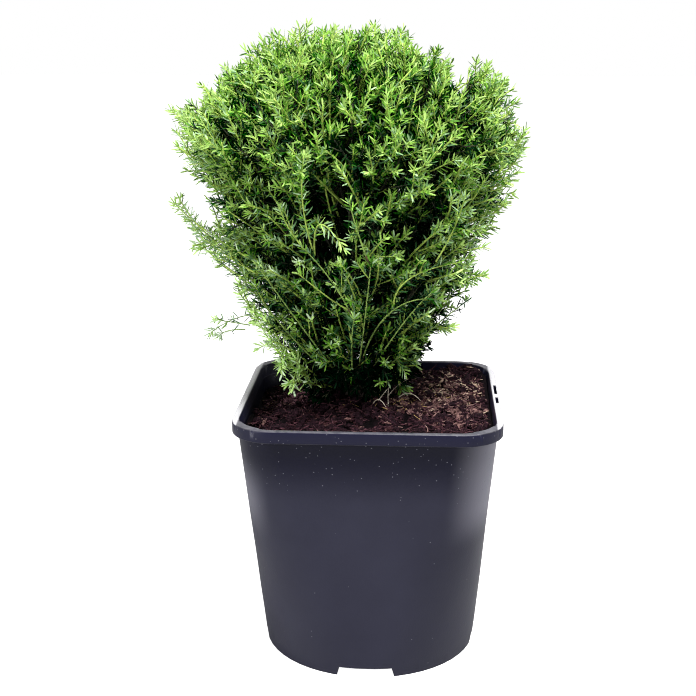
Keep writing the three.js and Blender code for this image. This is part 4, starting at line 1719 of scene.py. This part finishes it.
@dataclass
class Stems:
    """The short stem with its root flare, and the boughs that fan from it, both with the bark's relief."""

    crown: Crown
    foot_radius: float = 7 * MM
    waist_radius: float = 4.9 * MM
    fork_radius: float = 4 * MM
    flare: float = 2.5 * MM
    lobes: int = 5
    rings: int = 16
    sides: int = 40

    def build_trunk(self, material: Material) -> Piece:
        """Models the stem from a cylinder whose loops are cut, flared, lobed and roughened.

        Args:
            material: Its bark.

        Returns:
            The stem.
        """
        deselect_all()
        height = self.crown.stem_height
        foot = Vector((self.crown.plant[0], self.crown.plant[1], self.crown.soil))
        bpy.ops.mesh.primitive_cylinder_add(vertices=self.sides, radius=1.0, depth=height,
                                            location=(0.0, 0.0, height / 2))
        trunk = bpy.context.active_object
        apply_place(trunk)
        with editing(trunk):
            for ring in range(1, self.rings):
                bpy.ops.mesh.select_all(action="SELECT")
                bpy.ops.mesh.bisect(plane_co=(0.0, 0.0, height * ring / self.rings), plane_no=(0.0, 0.0, 1.0))
        points = points_of(trunk)
        share = points[:, 2] / height
        angle = np.arctan2(points[:, 1], points[:, 0])
        radius = self.waist_radius + (self.fork_radius - self.waist_radius) * share
        radius += (self.foot_radius - self.waist_radius) * np.exp(-points[:, 2] / self.flare)
        radius *= 1.0 + 0.12 * np.cos(self.lobes * angle) * (1.0 - share)
        around = np.column_stack([np.cos(angle), np.sin(angle), points[:, 2] * 60.0])
        radius *= 1.0 + 0.06 * noise_field(around, 3.0, 4, 2.2)
        points[:, 0] = foot.x - self.crown.stem_lean * share + radius * np.cos(angle)
        points[:, 1] = foot.y + radius * np.sin(angle)
        points[:, 2] += foot.z
        move_points(trunk, points)
        return clad(trunk, "stem", material, 45.0)

    def bough_limbs(self) -> Limbs:
        """The line of every bough, from the stem to where it enters its mass.

        Returns:
            The limbs.
        """
        crown = self.crown
        lines = []
        for number, cell in enumerate(crown.cells):
            share = cell.fork_height / crown.stem_height
            fork = np.array([crown.plant[0] - crown.stem_lean * share, crown.plant[1], crown.soil + cell.fork_height])
            tip = crown.leader_point(np.array([number]), np.array([crown.bough_enters]))[0]
            outward = unit(np.array([math.cos(cell.azimuth), math.sin(cell.azimuth), crown.bough_rise]))
            bend = fork + outward * 0.55 * np.linalg.norm(tip - fork)
            lines.append((fork, (fork + tip) / 2 if cell.name == "center" else bend, tip))
        start, middle, end = (np.array(points) for points in zip(*lines))
        root = np.array([cell.root_radius for cell in crown.cells])
        return Limbs(start, middle, end, root, np.full(len(root), crown.bough_tip))

    def build_boughs(self, material: Material) -> Piece:
        """Makes all boughs as one rough mesh."""
        return self.bough_limbs().mesh("boughs", material, sides=12, steps=14, relief=0.16)


@dataclass(frozen=True)
class Layer:
    """One layer of shoots: how many, how deep their tips lie, how long they are and their brightness, which paints
    light and shade into their needles' tones.
    """

    name: str
    count: int
    depth: Span
    length: Span
    side_shoots: int
    brightness: float
    blunt: bool  # needles with shoulders rather than plain ones


@dataclass(frozen=True)
class Carrier:
    """Limbs that carry needles, and how they are clad."""

    limbs: Limbs
    first: float  # share of a limb where its needles start
    pitch: float
    brightness: float
    blunt: bool = True
    own_place: bool = False  # limbs with a place of their own may stand in a clearing
    parents: Rows | None = None  # number of the spray of each limb, if limbs share sprays

    @property
    def sprays(self) -> Rows:
        """Number of the spray of each limb."""
        return np.arange(len(self.limbs)) if self.parents is None else self.parents


@dataclass
class Needles:
    """Many needles at once: how each one grows, its limb's number and its distance from the limb's tip."""

    root: Rows
    heading: Rows
    along: Rows
    across: Rows
    size: Rows
    width: Rows
    limb: Rows
    from_tip: Rows

    def blades(self) -> Rows:
        """Shapes needles as narrow blunt blades that bend a little towards the shoot's tip.

        Returns:
            Six corners of each blade: root, two at the waist, two at the shoulders and tip.
        """
        root, size = self.root, self.size[:, None]
        half = self.width[:, None] / 2 * self.across
        bend = self.along * size
        waist = root + self.heading * 0.28 * size + 0.01 * bend
        shoulder = root + self.heading * 0.82 * size + 0.08 * bend
        tip = root + self.heading * size + 0.14 * bend
        corners = (root, waist + half, waist - half, shoulder + 0.85 * half, shoulder - 0.85 * half, tip)
        return np.stack(corners, axis=1)


@dataclass
class Foliage:
    """Twigs, ribs, shoots and needles of all masses, grown by the part's rule to finer twigs."""

    crown: Crown
    twigs: int = 300
    twig_depth: Span = (24 * MM, 42 * MM)
    slope: float = 40.0
    ribs: int = 14
    rib_brightness: float = 0.35
    skirt: int = 220
    layers: tuple[Layer, ...] = (
        Layer("outer", 600, (0 * MM, 8 * MM), (38 * MM, 58 * MM), 3, 1.0, True),
        Layer("second", 540, (8 * MM, 20 * MM), (32 * MM, 48 * MM), 3, 0.05, True),
        Layer("third", 620, (20 * MM, 44 * MM), (30 * MM, 44 * MM), 2, -0.4, False),
    )
    climb: Span = (48.0, 84.0)  # steepness of the shoots' tips in degrees
    jitter: float = 0.22
    sprig_shoots: int = 4
    cleft_spacing: float = 34 * MM
    cleft_depth: float = 34 * MM
    thin_below: float = 62 * MM  # the crown is open below this height
    needle_length: float = 5.8 * MM
    tuft_needle: float = 4.4 * MM
    needle_width: float = 0.70 * MM
    pitch: float = 3.5 * MM
    tuft_pitch: float = 1.4 * MM
    tuft_length: float = 7.5 * MM
    whorl: int = 3
    bareness: float = 0.5  # share of the needles below the tufts that low shoots have lost
    ladder: int = 7  # tones from dark to bright, warm and cool alike
    seed: int = 77

    def grow_leaders(self) -> Limbs:
        """The leader of each mass, which goes on from its bough's tip.

        Returns:
            The leaders.
        """
        crown = self.crown
        which = np.arange(len(crown.cells))
        start = crown.leader_point(which, np.full(len(which), crown.bough_enters))
        tops = np.array([crown.leader_top(i, 13 * MM) for i in which])
        end = crown.leader_point(which, tops)
        return Limbs.alike(start, (start + end) / 2, end, 1.2 * MM, 0.6 * MM)

    def grow_twigs(self, random: Random, leaders: Limbs) -> tuple[Limbs, Rows]:
        """Twigs from the leaders towards coarse sites, which end well inside the outline.

        Args:
            random: Source of chance.
            leaders: The leaders.

        Returns:
            The twigs and the number of the cell of each.
        """
        crown = self.crown
        tip, normal = crown.sites(self.twigs)
        which = crown.cell_of(tip)
        tip = tip - normal * random.uniform(*self.twig_depth, (len(tip), 1))
        level = tip[:, 2] - crown.soil
        aside = np.linalg.norm((tip - crown.leader_point(which, level))[:, :2], axis=1)
        tops = leaders.end[which, 2] - crown.soil - 3 * MM
        height = np.clip(level - aside / math.tan(math.radians(self.slope)), crown.bough_enters + 1 * MM, tops)
        start = crown.leader_point(which, height)
        middle = 0.45 * start + 0.55 * tip - UP * (0.1 * aside)[:, None]
        return Limbs.alike(start, middle, tip, 0.8 * MM, 0.5 * MM), which

    def grow_ribs(self, random: Random) -> Limbs:
        """Slender stems that fan from the foot just under the open lower face of the crown, at its sides and back.

        Args:
            random: Source of chance.

        Returns:
            The ribs.
        """
        crown = self.crown
        stray = random.normal(0, 5, self.ribs)
        azimuth = np.radians(-22.0 + 224.0 * (np.arange(self.ribs) + 0.5) / self.ribs + stray)
        height = random.uniform(58 * MM, 108 * MM, self.ribs)
        end = crown.point(azimuth, height, crown.outline_radius(height) - random.uniform(2 * MM, 9 * MM, self.ribs))
        low = 0.36 * height
        turn = random.normal(0.0, 0.4, self.ribs)
        middle = crown.point(azimuth + turn, low, crown.outline_radius(low) - 6 * MM)
        foot = random.uniform(4 * MM, 7.5 * MM, self.ribs)
        start = crown.point(azimuth + turn, random.uniform(1 * MM, 10 * MM, self.ribs), foot)
        return Limbs.alike(start, middle, end, 0.55 * MM, 0.3 * MM)

    def grow_skirt(self, random: Random) -> Limbs:
        """Short shoots that hang round the foot and hide the boughs, their needles dealt dark tones as painted shade.

        Args:
            random: Source of chance.

        Returns:
            The shoots.
        """
        crown = self.crown
        azimuth = random.uniform(0.0, 2 * math.pi, self.skirt)
        root = random.uniform(4 * MM, 30 * MM, self.skirt)
        start = crown.point(azimuth, root, crown.outline_radius(root) * random.uniform(0.3, 0.75, self.skirt))
        level = np.maximum(root + random.normal(1 * MM, 7 * MM, self.skirt), 4 * MM)
        reach = crown.outline_radius(level) + random.uniform(-12 * MM, -1 * MM, self.skirt)
        end = crown.point(azimuth + random.normal(0.0, 0.3, self.skirt), level, reach)
        middle = (start + end) / 2 + UP * random.uniform(0 * MM, 5 * MM, (self.skirt, 1))
        return Limbs.alike(start, middle, end, 0.5 * MM, 0.3 * MM)

    def cleft(self, points: Rows) -> Rows:
        """How far tips draw back where dark clefts part the crown's tufts.

        Args:
            points: Tips, one row each.

        Returns:
            One distance per tip.
        """
        level = noise_field(points, 1.0 / self.cleft_spacing, 2, 6.4)
        shallow = 0.75 * clamp((self.crown.share_of_height(points) - 0.65) / 0.2)
        return self.cleft_depth * clamp(level - 0.02) * (1.0 - shallow)

    def headings(self, points: Rows, random: Random) -> Rows:
        """Directions of shoots' tips: outward near the belly, steeper towards the top.

        Args:
            points: Tips, one row each.
            random: Source of chance.

        Returns:
            One direction per tip.
        """
        crown = self.crown
        out = points - np.array([*crown.plant, 0.0])
        reach = np.hypot(out[:, 0], out[:, 1])
        climb = np.radians(random.uniform(*self.climb, len(points)))
        flat = clamp(reach / (0.9 * crown.belly_radius)) * np.cos(climb)
        way = np.column_stack([flat * out[:, 0] / reach, flat * out[:, 1] / reach, np.sin(climb)])
        return unit(way + random.normal(0.0, self.jitter, way.shape))

    def grow_layer(self, layer: Layer, random: Random, twigs: Limbs, cells: Rows) -> Limbs:
        """Shoots from the twigs to fine sites at the depth of one layer.

        Args:
            layer: The layer.
            random: Source of chance.
            twigs: Twigs that may carry them.
            cells: The cell of each twig.

        Returns:
            The shoots.
        """
        crown = self.crown
        tip, normal = crown.sites(layer.count)
        height = tip[:, 2] - crown.soil
        azimuth = np.arctan2(tip[:, 1] - crown.plant[1], tip[:, 0] - crown.plant[0])
        left = np.exp(-((np.degrees(azimuth) % 360.0 - 196.0) / 24.0) ** 2) * clamp(2.0 - height / (46 * MM))
        share = (0.45 + 0.55 * clamp(height / self.thin_below)) * (1.0 - 0.75 * left)
        stay = random.random(len(tip)) < share
        tip, normal = tip[stay], normal[stay]
        depth = random.uniform(*layer.depth, len(tip)) + self.cleft(tip) - crown.swell(tip)
        tip = tip - normal * depth[:, None] + random.normal(0.0, 2.5 * MM, tip.shape)
        tip[:, 2] = np.maximum(tip[:, 2], crown.soil + 9 * MM)
        wanted = random.uniform(*layer.length, len(tip))
        shoots = self.attach(tip, self.headings(tip, random), wanted, random, twigs, cells)
        clear = np.zeros(len(tip), bool)
        for share in (0.4, 0.7, 1.0):
            clear |= crown.cleared(shoots.at(np.arange(len(tip)), np.full(len(tip), share)))
        return shoots.chosen(~clear)

    def attach(self, tip: Rows, heading: Rows, wanted: Rows, random: Random,
               twigs: Limbs, cells: Rows) -> Limbs:
        """Grows a shoot to each tip from the twig spot that suits its heading and length best.

        Args:
            tip: Tips of the shoots.
            heading: Their directions at the tip.
            wanted: Their lengths.
            random: Source of chance.
            twigs: Twigs that may carry them.
            cells: The cell of each twig.

        Returns:
            The shoots.
        """
        which = self.crown.cell_of(tip)
        shares = np.linspace(0.2, 1.0, 12)
        start, along = np.empty_like(tip), np.empty_like(tip)
        for number in range(len(self.crown.cells)):
            own = np.flatnonzero(cells == number)
            mine = np.flatnonzero(which == number)
            limb = np.repeat(own, len(shares))
            share = np.tile(shares, len(own))
            spots = twigs.at(limb, share)
            way = tip[mine][:, None] - spots[None]
            far = np.linalg.norm(way, axis=2)
            straight = np.einsum("ijk,ik->ij", way, heading[mine]) / np.maximum(far, 1e-6)
            cost = np.abs(far - wanted[mine][:, None]) / wanted[mine][:, None] + 1.1 * (1 - straight)
            best = np.argmin(cost, axis=1)
            start[mine] = spots[best]
            along[mine] = twigs.heading(limb[best], share[best])
        span = np.linalg.norm(tip - start, axis=1)[:, None]
        middle = 0.5 * (start + along * 0.45 * span) + 0.5 * (tip - heading * 0.5 * span)
        middle += random.normal(0.0, 0.05, tip.shape) * span
        return Limbs.alike(start, middle, tip, 0.7 * MM, 0.45 * MM)

    def grow_side_shoots(self, random: Random, shoots: Limbs, each: int) -> tuple[Limbs, Rows]:
        """Side shoots, turned from one to the next round each shoot.

        Args:
            random: Source of chance.
            shoots: The shoots that carry them.
            each: How many side shoots a shoot has.

        Returns:
            The side shoots and the number of the shoot of each.
        """
        which = np.repeat(np.arange(len(shoots)), each)
        order = np.tile(np.arange(each), len(shoots))
        share = 0.28 + 0.6 * (order + random.uniform(0.1, 0.9, len(which))) / each
        start = shoots.at(which, share)
        along = shoots.heading(which, share)
        roll = random.uniform(0, 2 * math.pi, len(shoots))[which] + order * GOLDEN_ANGLE
        away = around(along, roll, NEARLY_UP)
        lean = np.radians(random.uniform(30.0, 52.0, len(which)))[:, None]
        heading = along * np.cos(lean) + away * np.sin(lean)
        length = (random.uniform(12 * MM, 21 * MM, len(which)) * (1.2 - 0.65 * share))[:, None]
        middle = start + heading * 0.55 * length
        end = start + heading * length + along * 0.22 * length
        keep = (self.crown.depth(end) + self.crown.swell(end) > -2 * MM) & (end[:, 2] > self.crown.soil + 6 * MM)
        keep &= ~self.crown.cleared(end)
        level = self.crown.share_of_height(start)
        keep &= random.random(len(which)) < 0.5 + 0.5 * clamp((level - 0.4) / 0.3)
        return Limbs.alike(start, middle, end, 0.5 * MM, 0.35 * MM).chosen(keep), which[keep]

    def grow_sprigs(self, random: Random, twigs: Limbs, cells: Rows) -> Limbs:
        """The groups of long shoots that stand out of the outline, the longest in the middle of each.

        Args:
            random: Source of chance.
            twigs: Twigs that may carry them.
            cells: The cell of each twig.

        Returns:
            The shoots.
        """
        tip, normal = self.crown.sprig_sites()
        tip, normal = np.repeat(tip, self.sprig_shoots, axis=0), np.repeat(normal, self.sprig_shoots, axis=0)
        heading = unit(normal * 0.8 + np.array([0.0, 0.0, 0.35]) + random.normal(0.0, 0.2, tip.shape))
        rank = np.tile(np.arange(self.sprig_shoots), len(tip) // self.sprig_shoots)
        tip = tip - normal * (4 * MM * rank)[:, None] + random.normal(0.0, 3.5 * MM, tip.shape) * (rank > 0)[:, None]
        return self.attach(tip, heading, np.full(len(tip), 46 * MM), random, twigs, cells)

    def needles(self, carrier: Carrier, random: Random) -> Needles:
        """Whorls of needles along limbs: wide apart and long below, close, short and upright in the tuft at the tip.

        Args:
            carrier: The limbs that carry them.
            random: Source of chance.

        Returns:
            The needles.
        """
        limbs, first, pitch = carrier.limbs, carrier.first, carrier.pitch
        length = limbs.lengths()
        tuft = np.minimum(self.tuft_length, 0.5 * length)
        close = np.round(tuft / self.tuft_pitch).astype(int)
        wide = np.maximum((length * (1 - first) - tuft) / pitch, 0).astype(int)
        whorls = close + wide
        which = np.repeat(np.arange(len(limbs)), whorls)
        order = np.concatenate([np.arange(n) for n in whorls])
        in_tuft = order < close[which]
        below = tuft[which] + (order - close[which] + 0.5) * pitch
        from_tip = np.where(in_tuft, (order + 0.2) * self.tuft_pitch, below)
        which, from_tip = np.repeat(which, self.whorl), np.repeat(from_tip, self.whorl)
        order = np.repeat(order, self.whorl)
        count = len(which)
        from_tip = np.maximum(from_tip + random.normal(0.0, 0.22 * pitch, count), 0.0)
        turn = np.tile(np.arange(self.whorl), count // self.whorl) * 2 * math.pi / self.whorl
        phase = random.uniform(0, 2 * math.pi, len(limbs))[which]
        angle = turn + order * math.pi / self.whorl + phase + random.normal(0.0, 0.25, count)
        share = clamp(1.0 - from_tip / length[which])
        along = limbs.heading(which, share)
        away = around(along, angle, NEARLY_UP)
        young = np.exp(-from_tip / (0.7 * self.tuft_length))
        lean = np.radians(66.0 - 26.0 * young + random.normal(0.0, 9.0, count))[:, None]
        heading = along * np.cos(lean) + away * np.sin(lean)
        root = limbs.at(which, share)
        outward = unit((root - np.array([*self.crown.plant, 0.0])) * np.array([1.0, 1.0, 0.0]))
        face = 0.7 * outward + np.array([0.0, 0.0, 0.5]) + random.normal(0.0, 0.8, (count, 3))
        size = self.needle_length + (self.tuft_needle - self.needle_length) * young
        size = size * random.uniform(0.75, 1.15, count)
        low = clamp((0.62 - self.crown.share_of_height(root)) / 0.25)
        width = self.needle_width * (1.0 + (0.3 + 0.3 * low) * young)
        return Needles(root, heading, along, unit(np.cross(heading, face)), size, width, which, from_tip)

    def deal_tones(self, needles: Needles, carrier: Carrier, random: Random) -> Rows:
        """Deals the needles' plain colours out by spray: darker inside as painted shade, lighter at the top, on the
        flanks and on low bright shoots as painted light, and brighter towards the shoots' new tips.

        Args:
            needles: The needles.
            carrier: The limbs that carry them. Their brightness, which paints light and shade into the tones, is
                about 0 inside, 1 outside and more for shoots that stand out.
            random: Source of chance.

        Returns:
            The number of the tone of each needle.
        """
        crown, root = self.crown, needles.root
        spray = carrier.sprays[needles.limb]
        luck = random.normal(0.0, 0.7, int(spray.max()) + 1)[spray] + random.normal(0.0, 0.7, len(spray))
        share = crown.share_of_height(root)
        height = clamp(share)
        low = clamp((0.56 - share) / 0.2)
        lofty = clamp((height - 0.76) / 0.16)
        shade = clamp(1.0 - height / 0.42)
        depth = clamp((crown.depth(root) + crown.swell(root)) / (40 * MM))
        young = np.exp(-needles.from_tip / (9 * MM))
        aside = (root[:, 0] - crown.axis_x(height * crown.top)) / crown.belly_radius
        beside = np.abs(aside)
        # Painted light and shade: needles near the outline above the lowest quarter get a least brightness, highest
        # at the top, that falls away with depth.
        least = np.where(height > 0.25, 0.45 + 0.55 * lofty - 2.0 * depth, -1.0)
        brightness = np.maximum(carrier.brightness, least)
        eager = 3.4 - 1.7 * lofty + 1.2 * low
        # Painted light and shade: tones lighter at the top, darker low down and deeper inside the outline, with a
        # stronger lift at the new tips low down.
        score = 0.1 + 0.25 * lofty - 0.5 * low + 2.0 * brightness
        score = score + eager * young * (0.25 + 0.75 * brightness) - 1.5 * depth
        # Painted light and shade: the top is dealt lighter tones, and the foot darker ones apart from its bright
        # shoots.
        score += 0.9 * (height - 0.55) + 0.65 * lofty - shade * np.maximum(2.2 - brightness, 0.3)
        # Painted light and shade: both flanks are dealt lighter tones, the left one more, and the middle of the lower
        # face darker ones.
        score += np.where(aside < 0.0, 1.7, 0.85) * clamp((beside - 0.62) / 0.25)
        score -= 0.9 * clamp(1.0 - beside / 0.5) * clamp((0.5 - height) / 0.15)
        # Painted light: bright shoots low down are dealt lighter tones still.
        score += 0.5 * brightness * clamp((0.55 - height) / 0.2)
        most = self.ladder - 1 - (height > 0.45)  # the brightest tone is painted light and only shows low down
        tone = np.clip(np.round(score + luck * (1.0 - 0.35 * lofty)), 0, most).astype(int)
        fresh = np.maximum(young, clamp(brightness - 1.7)) * np.clip(2.0 * brightness - 1.0, 0.0, 0.8)
        cool = random.random(len(tone)) < clamp(1.45 - 1.4 * height) * (1.0 - fresh)
        return tone + self.ladder * cool

    def build(self) -> list[Piece]:
        """Grows the foliage and makes its pieces.

        Returns:
            Twig meshes and one or more needle meshes of each tone.
        """
        random = np.random.default_rng(self.seed)
        leaders = self.grow_leaders()
        twigs, cells = self.grow_twigs(random, leaders)
        ribs = self.grow_ribs(random)
        olive, green, foot, lime, straw = [BarkFinish(*row).make() for row in (
            ("olive_bark", (0.010, 0.012, 0.005, 1.0), (0.035, 0.040, 0.012, 1.0)),
            ("green_twig", (0.26, 0.40, 0.055, 1.0), (0.50, 0.66, 0.120, 1.0)),
            ("foot_bark", (0.050, 0.028, 0.012, 1.0), (0.130, 0.085, 0.030, 1.0)),
            ("rib_bark", (0.15, 0.26, 0.045, 1.0), (0.34, 0.51, 0.110, 1.0)),
            ("dead_twig", (0.42, 0.36, 0.27, 1.0), (0.80, 0.74, 0.60, 1.0)),
        )]
        own, kinds = self.crown.placed(*[kind for kind in ShootKind if kind is not ShootKind.STRAW])
        dead, _ = self.crown.placed(ShootKind.STRAW)
        stout, wisp = (np.array([kind is one for kind in kinds]) for one in (ShootKind.RIB, ShootKind.WISP))
        feet, ribs_above = ribs.joined(own.chosen(stout)).split(0.2)
        skirt = self.grow_skirt(random)
        limbs = [
            ("leaders", leaders, 7, 16, olive),
            ("twigs", twigs, 4, 8, olive),
            ("rib_feet", feet, 8, 6, foot),
            ("ribs", ribs_above, 8, 18, lime),
            ("set_shoots", own.chosen(~stout & ~wisp), 6, 12, green),
            ("wisps", own.chosen(wisp), 5, 12, lime),
            ("dead_twigs", dead, 5, 8, straw),
            ("skirt_shoots", skirt, 4, 4, olive),
        ]
        # Leaders and twigs get a low brightness, which paints the inside's shade into their needles, and the skirt a
        # low one as painted shade at the foot.
        carriers = [
            Carrier(leaders, 0.05, 3.2 * MM, -0.2, blunt=False),
            Carrier(twigs, 0.2, 2.6 * MM, -0.2, blunt=False),
            Carrier(ribs, 0.3, 5.0 * MM, self.rib_brightness),
            Carrier(skirt, 0.1, 4.6 * MM, 0.2),
        ]
        for layer in self.layers:
            shoots = self.grow_layer(layer, random, twigs, cells)
            if layer.name == "outer":
                shoots = shoots.joined(self.grow_sprigs(random, twigs, cells))
            sides, parents = self.grow_side_shoots(random, shoots, layer.side_shoots)
            # Outer shoots get the bright green bark and inner ones the dark olive bark: partly the inner shoots'
            # older bark, partly painted shade.
            bark = green if layer.name == "outer" else olive
            limbs += [(f"{layer.name}_shoots", shoots, 4, 5, bark), (f"{layer.name}_side_shoots", sides, 3, 2, bark)]
            carriers += [Carrier(shoots, 0.05, self.pitch, layer.brightness, layer.blunt),
                         Carrier(sides, 0.08, self.pitch, layer.brightness, layer.blunt, parents=parents)]
        for kind in sorted(set(kinds), key=lambda kind: kind.name):
            _, each, brightness, pitch = kind.value
            shoots = own.chosen(np.array([other is kind for other in kinds]))
            first = 0.3 if kind is ShootKind.RIB else 0.1
            carriers.append(Carrier(shoots, first, pitch, brightness, own_place=True))
            if each:
                sides, parents = self.grow_side_shoots(random, shoots, each)
                limbs.append((f"{kind.name.lower()}_side_shoots", sides, 3, 3, green))
                carriers.append(Carrier(sides, 0.1, self.pitch, brightness, own_place=True, parents=parents))
        sides, parents = self.grow_side_shoots(random, ribs, 4)
        limbs.append(("rib_shoots", sides, 3, 3, green))
        carriers.append(Carrier(sides, 0.1, self.pitch, self.rib_brightness, parents=parents))
        pieces = [grown.mesh(name, material, corners, steps) for name, grown, corners, steps, material in limbs]
        return pieces + self.build_needles(random, carriers)

    def build_needles(self, random: Random, carriers: list[Carrier]) -> list[Piece]:
        """Makes the needles of all kinds of twig as joined meshes, each tone apart.

        Args:
            random: Source of chance.
            carriers: All the limbs that carry needles.

        Returns:
            The needle meshes.
        """
        tones = list(NeedleTone)[:2 * self.ladder]
        batches: dict[tuple[int, bool], list[Rows]] = {}
        for carrier in carriers:
            made = self.needles(carrier, random)
            tone = self.deal_tones(made, carrier, random)
            blades = made.blades()
            reach = made.heading * made.size[:, None]
            inner, outer = (self.crown.cleared(made.root + share * reach) for share in (0.4, 1.0))
            free = ~(inner | outer) | carrier.own_place
            low = clamp((0.65 - self.crown.share_of_height(made.root)) / 0.3)
            bare = self.bareness * low * clamp(made.from_tip / self.tuft_length - 1.0)
            free &= (random.random(len(free)) > bare) | carrier.own_place
            for number in range(len(tones)):
                batches.setdefault((number, carrier.blunt), []).append(blades[free & (tone == number)])
        materials = [tone.make() for tone in tones]
        pieces = []
        for (number, blunt), parts in sorted(batches.items()):
            blades = np.concatenate(parts)
            corners = (0, 1, 2, 3, 4, 5) if blunt else (0, 1, 2, 5)
            faces = np.array([(0, 2, 1), (1, 2, 4), (1, 4, 3), (3, 4, 5)] if blunt else [(0, 2, 1), (1, 2, 3)])
            most = MOST_TRIANGLES // len(faces)
            for part in range(0, len(blades), most):
                chunk = blades[part:part + most][:, corners]
                index = copies(faces, len(chunk), len(corners))
                name = f"{'needles' if blunt else 'inner_needles'}_{tones[number].name.lower()}_{part // most + 1}"
                pieces.append(mesh_from_arrays(name, chunk.reshape(-1, 3), index, materials[number]))
        return pieces


# ---- Camera, floor and light ----


@dataclass
class Studio:
    """A pale floor, soft light and the camera."""

    target: Triple = (-13.50 * MM, -0.77 * MM, 178.52 * MM)
    azimuth: float = 3.27
    elevation: float = 14.86
    distance: float = 767.47 * MM
    lens: float = 67.95
    sensor: float = 36.0
    surround: float = 0.08
    backdrop: float = 0.8

    def add_camera(self) -> None:
        """Adds the camera and makes it the scene's."""
        data = bpy.data.cameras.new("camera")
        data.lens = self.lens
        data.sensor_width = self.sensor
        data.clip_start = 0.01
        camera = bpy.data.objects.new("camera", data)
        bpy.context.scene.collection.objects.link(camera)
        a, e = math.radians(self.azimuth), math.radians(self.elevation)
        back = Vector((math.sin(a) * math.cos(e), -math.cos(a) * math.cos(e), math.sin(e)))
        camera.location = Vector(self.target) + back * self.distance
        camera.rotation_euler = back.to_track_quat("Z", "Y").to_euler()
        bpy.context.scene.camera = camera

    def add_floor(self) -> None:
        """Adds the pale floor: a flat plane that shows plain white to the camera by its emission for camera rays."""
        deselect_all()
        bpy.ops.mesh.primitive_plane_add(size=12.0, location=(0.0, 0.0, 0.0))
        sweep = bpy.context.active_object
        sweep.name = "floor"
        bench = Bench("pale_floor")
        grain = bench.mottle(3.0, 2.0, 0.3, 0.7)
        bench.wire("Base Color", bench.blend(grain, (0.40, 0.40, 0.40, 1.0), (0.44, 0.44, 0.44, 1.0)))
        bench.fix(Roughness=0.9)
        bench.shader.inputs["Emission Color"].default_value = (1.0, 1.0, 1.0, 1.0)
        seen = bench.nodes.new("ShaderNodeLightPath")
        bench.wire("Emission Strength", seen.outputs["Is Camera Ray"])
        sweep.data.materials.append(bench.material)

    def add_light(self, name: str, place: Triple, size: float, power: float) -> None:
        """Adds a square soft light that faces the plant.

        Args:
            name: Its name.
            place: Where it stands.
            size: Its side.
            power: Its power in watts.
        """
        data = bpy.data.lights.new(name, "AREA")
        data.shape = "SQUARE"
        data.size = size
        data.energy = power
        light = bpy.data.objects.new(name, data)
        bpy.context.scene.collection.objects.link(light)
        light.location = place
        aim = Vector(place) - Vector(self.target)
        light.rotation_euler = aim.to_track_quat("Z", "Y").to_euler()

    def add_world(self) -> None:
        """Surrounds the scene with even white light."""
        world = bpy.data.worlds.new("surround")
        world.use_nodes = True
        nodes, links = world.node_tree.nodes, world.node_tree.links
        background = nodes["Background"]
        background.inputs["Color"].default_value = (1.0, 1.0, 1.0, 1.0)
        ray = nodes.new("ShaderNodeLightPath")
        way = nodes.new("ShaderNodeTexCoord")
        split = nodes.new("ShaderNodeSeparateXYZ")
        backdrop = nodes.new("ShaderNodeMapRange")
        backdrop.interpolation_type = "SMOOTHSTEP"
        backdrop.inputs["From Min"].default_value = -0.2
        backdrop.inputs["From Max"].default_value = 0.7
        backdrop.inputs["To Min"].default_value = self.surround
        backdrop.inputs["To Max"].default_value = self.backdrop
        seen = nodes.new("ShaderNodeMix")
        seen.inputs["B"].default_value = 1.0
        links.new(way.outputs["Generated"], split.inputs["Vector"])
        links.new(split.outputs["Y"], backdrop.inputs["Value"])
        links.new(ray.outputs["Is Camera Ray"], seen.inputs["Factor"])
        links.new(backdrop.outputs["Result"], seen.inputs["A"])
        links.new(seen.outputs["Result"], background.inputs["Strength"])
        bpy.context.scene.world = world

    def build(self) -> None:
        """Builds the whole studio."""
        self.add_camera()
        self.add_floor()
        self.add_light("overhead", (0.25, -0.5, 1.5), 0.5, 36.5)
        self.add_light("left", (-1.0, -0.7, 0.45), 0.5, 11.0)
        self.add_light("right", (1.1, -0.2, 0.6), 0.6, 5.0)
        self.add_world()
        scene = bpy.context.scene
        scene.view_settings.view_transform = "Standard"
        scene.cycles.use_denoising = True
        scene.cycles.denoising_prefilter = "NONE"
        scene.cycles.filter_width = 1.1


# ---- Assembly ----


def dress(piece: Piece, slot: str, *nodes: str) -> None:
    """Makes a finished piece ride with the part, hides the CAD nodes that it replaces and logs its faces.

    Args:
        piece: The finished piece.
        slot: The record's material slot; not used.
        nodes: CAD nodes that it replaces.
    """
    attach(piece, "root")
    if nodes:
        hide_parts(*nodes)
    log.info("%s: %d faces", piece.name, len(piece.data.polygons))


def main() -> None:
    """Builds every piece in order."""
    logging.basicConfig(level=logging.INFO, format="%(name)s: %(message)s")
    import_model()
    Studio().build()
    pot = NurseryPot()
    dress(pot.build(PotPlastic().make()), "pot_plastic", "pot")
    ground, *litter = PottingMix(pot).build()
    dress(ground, "potting_mix", "potting_mix")
    for piece in litter:
        dress(piece, "potting_mix")
    crown = Crown()
    stems = Stems(crown)
    bark = BarkFinish("stem_bark", (0.012, 0.006, 0.004, 1.0), (0.060, 0.030, 0.016, 1.0)).make()
    dress(stems.build_trunk(bark), "bark", "trunk")
    dress(stems.build_boughs(bark), "bark", *[f"bough_{cell.name}" for cell in crown.cells])
    leaders, *rest = Foliage(crown).build()
    dress(leaders, "foliage", *[f"foliage_{cell.name}" for cell in crown.cells])
    for piece in rest:
        dress(piece, "foliage")


if __name__ == "__main__":
    main()
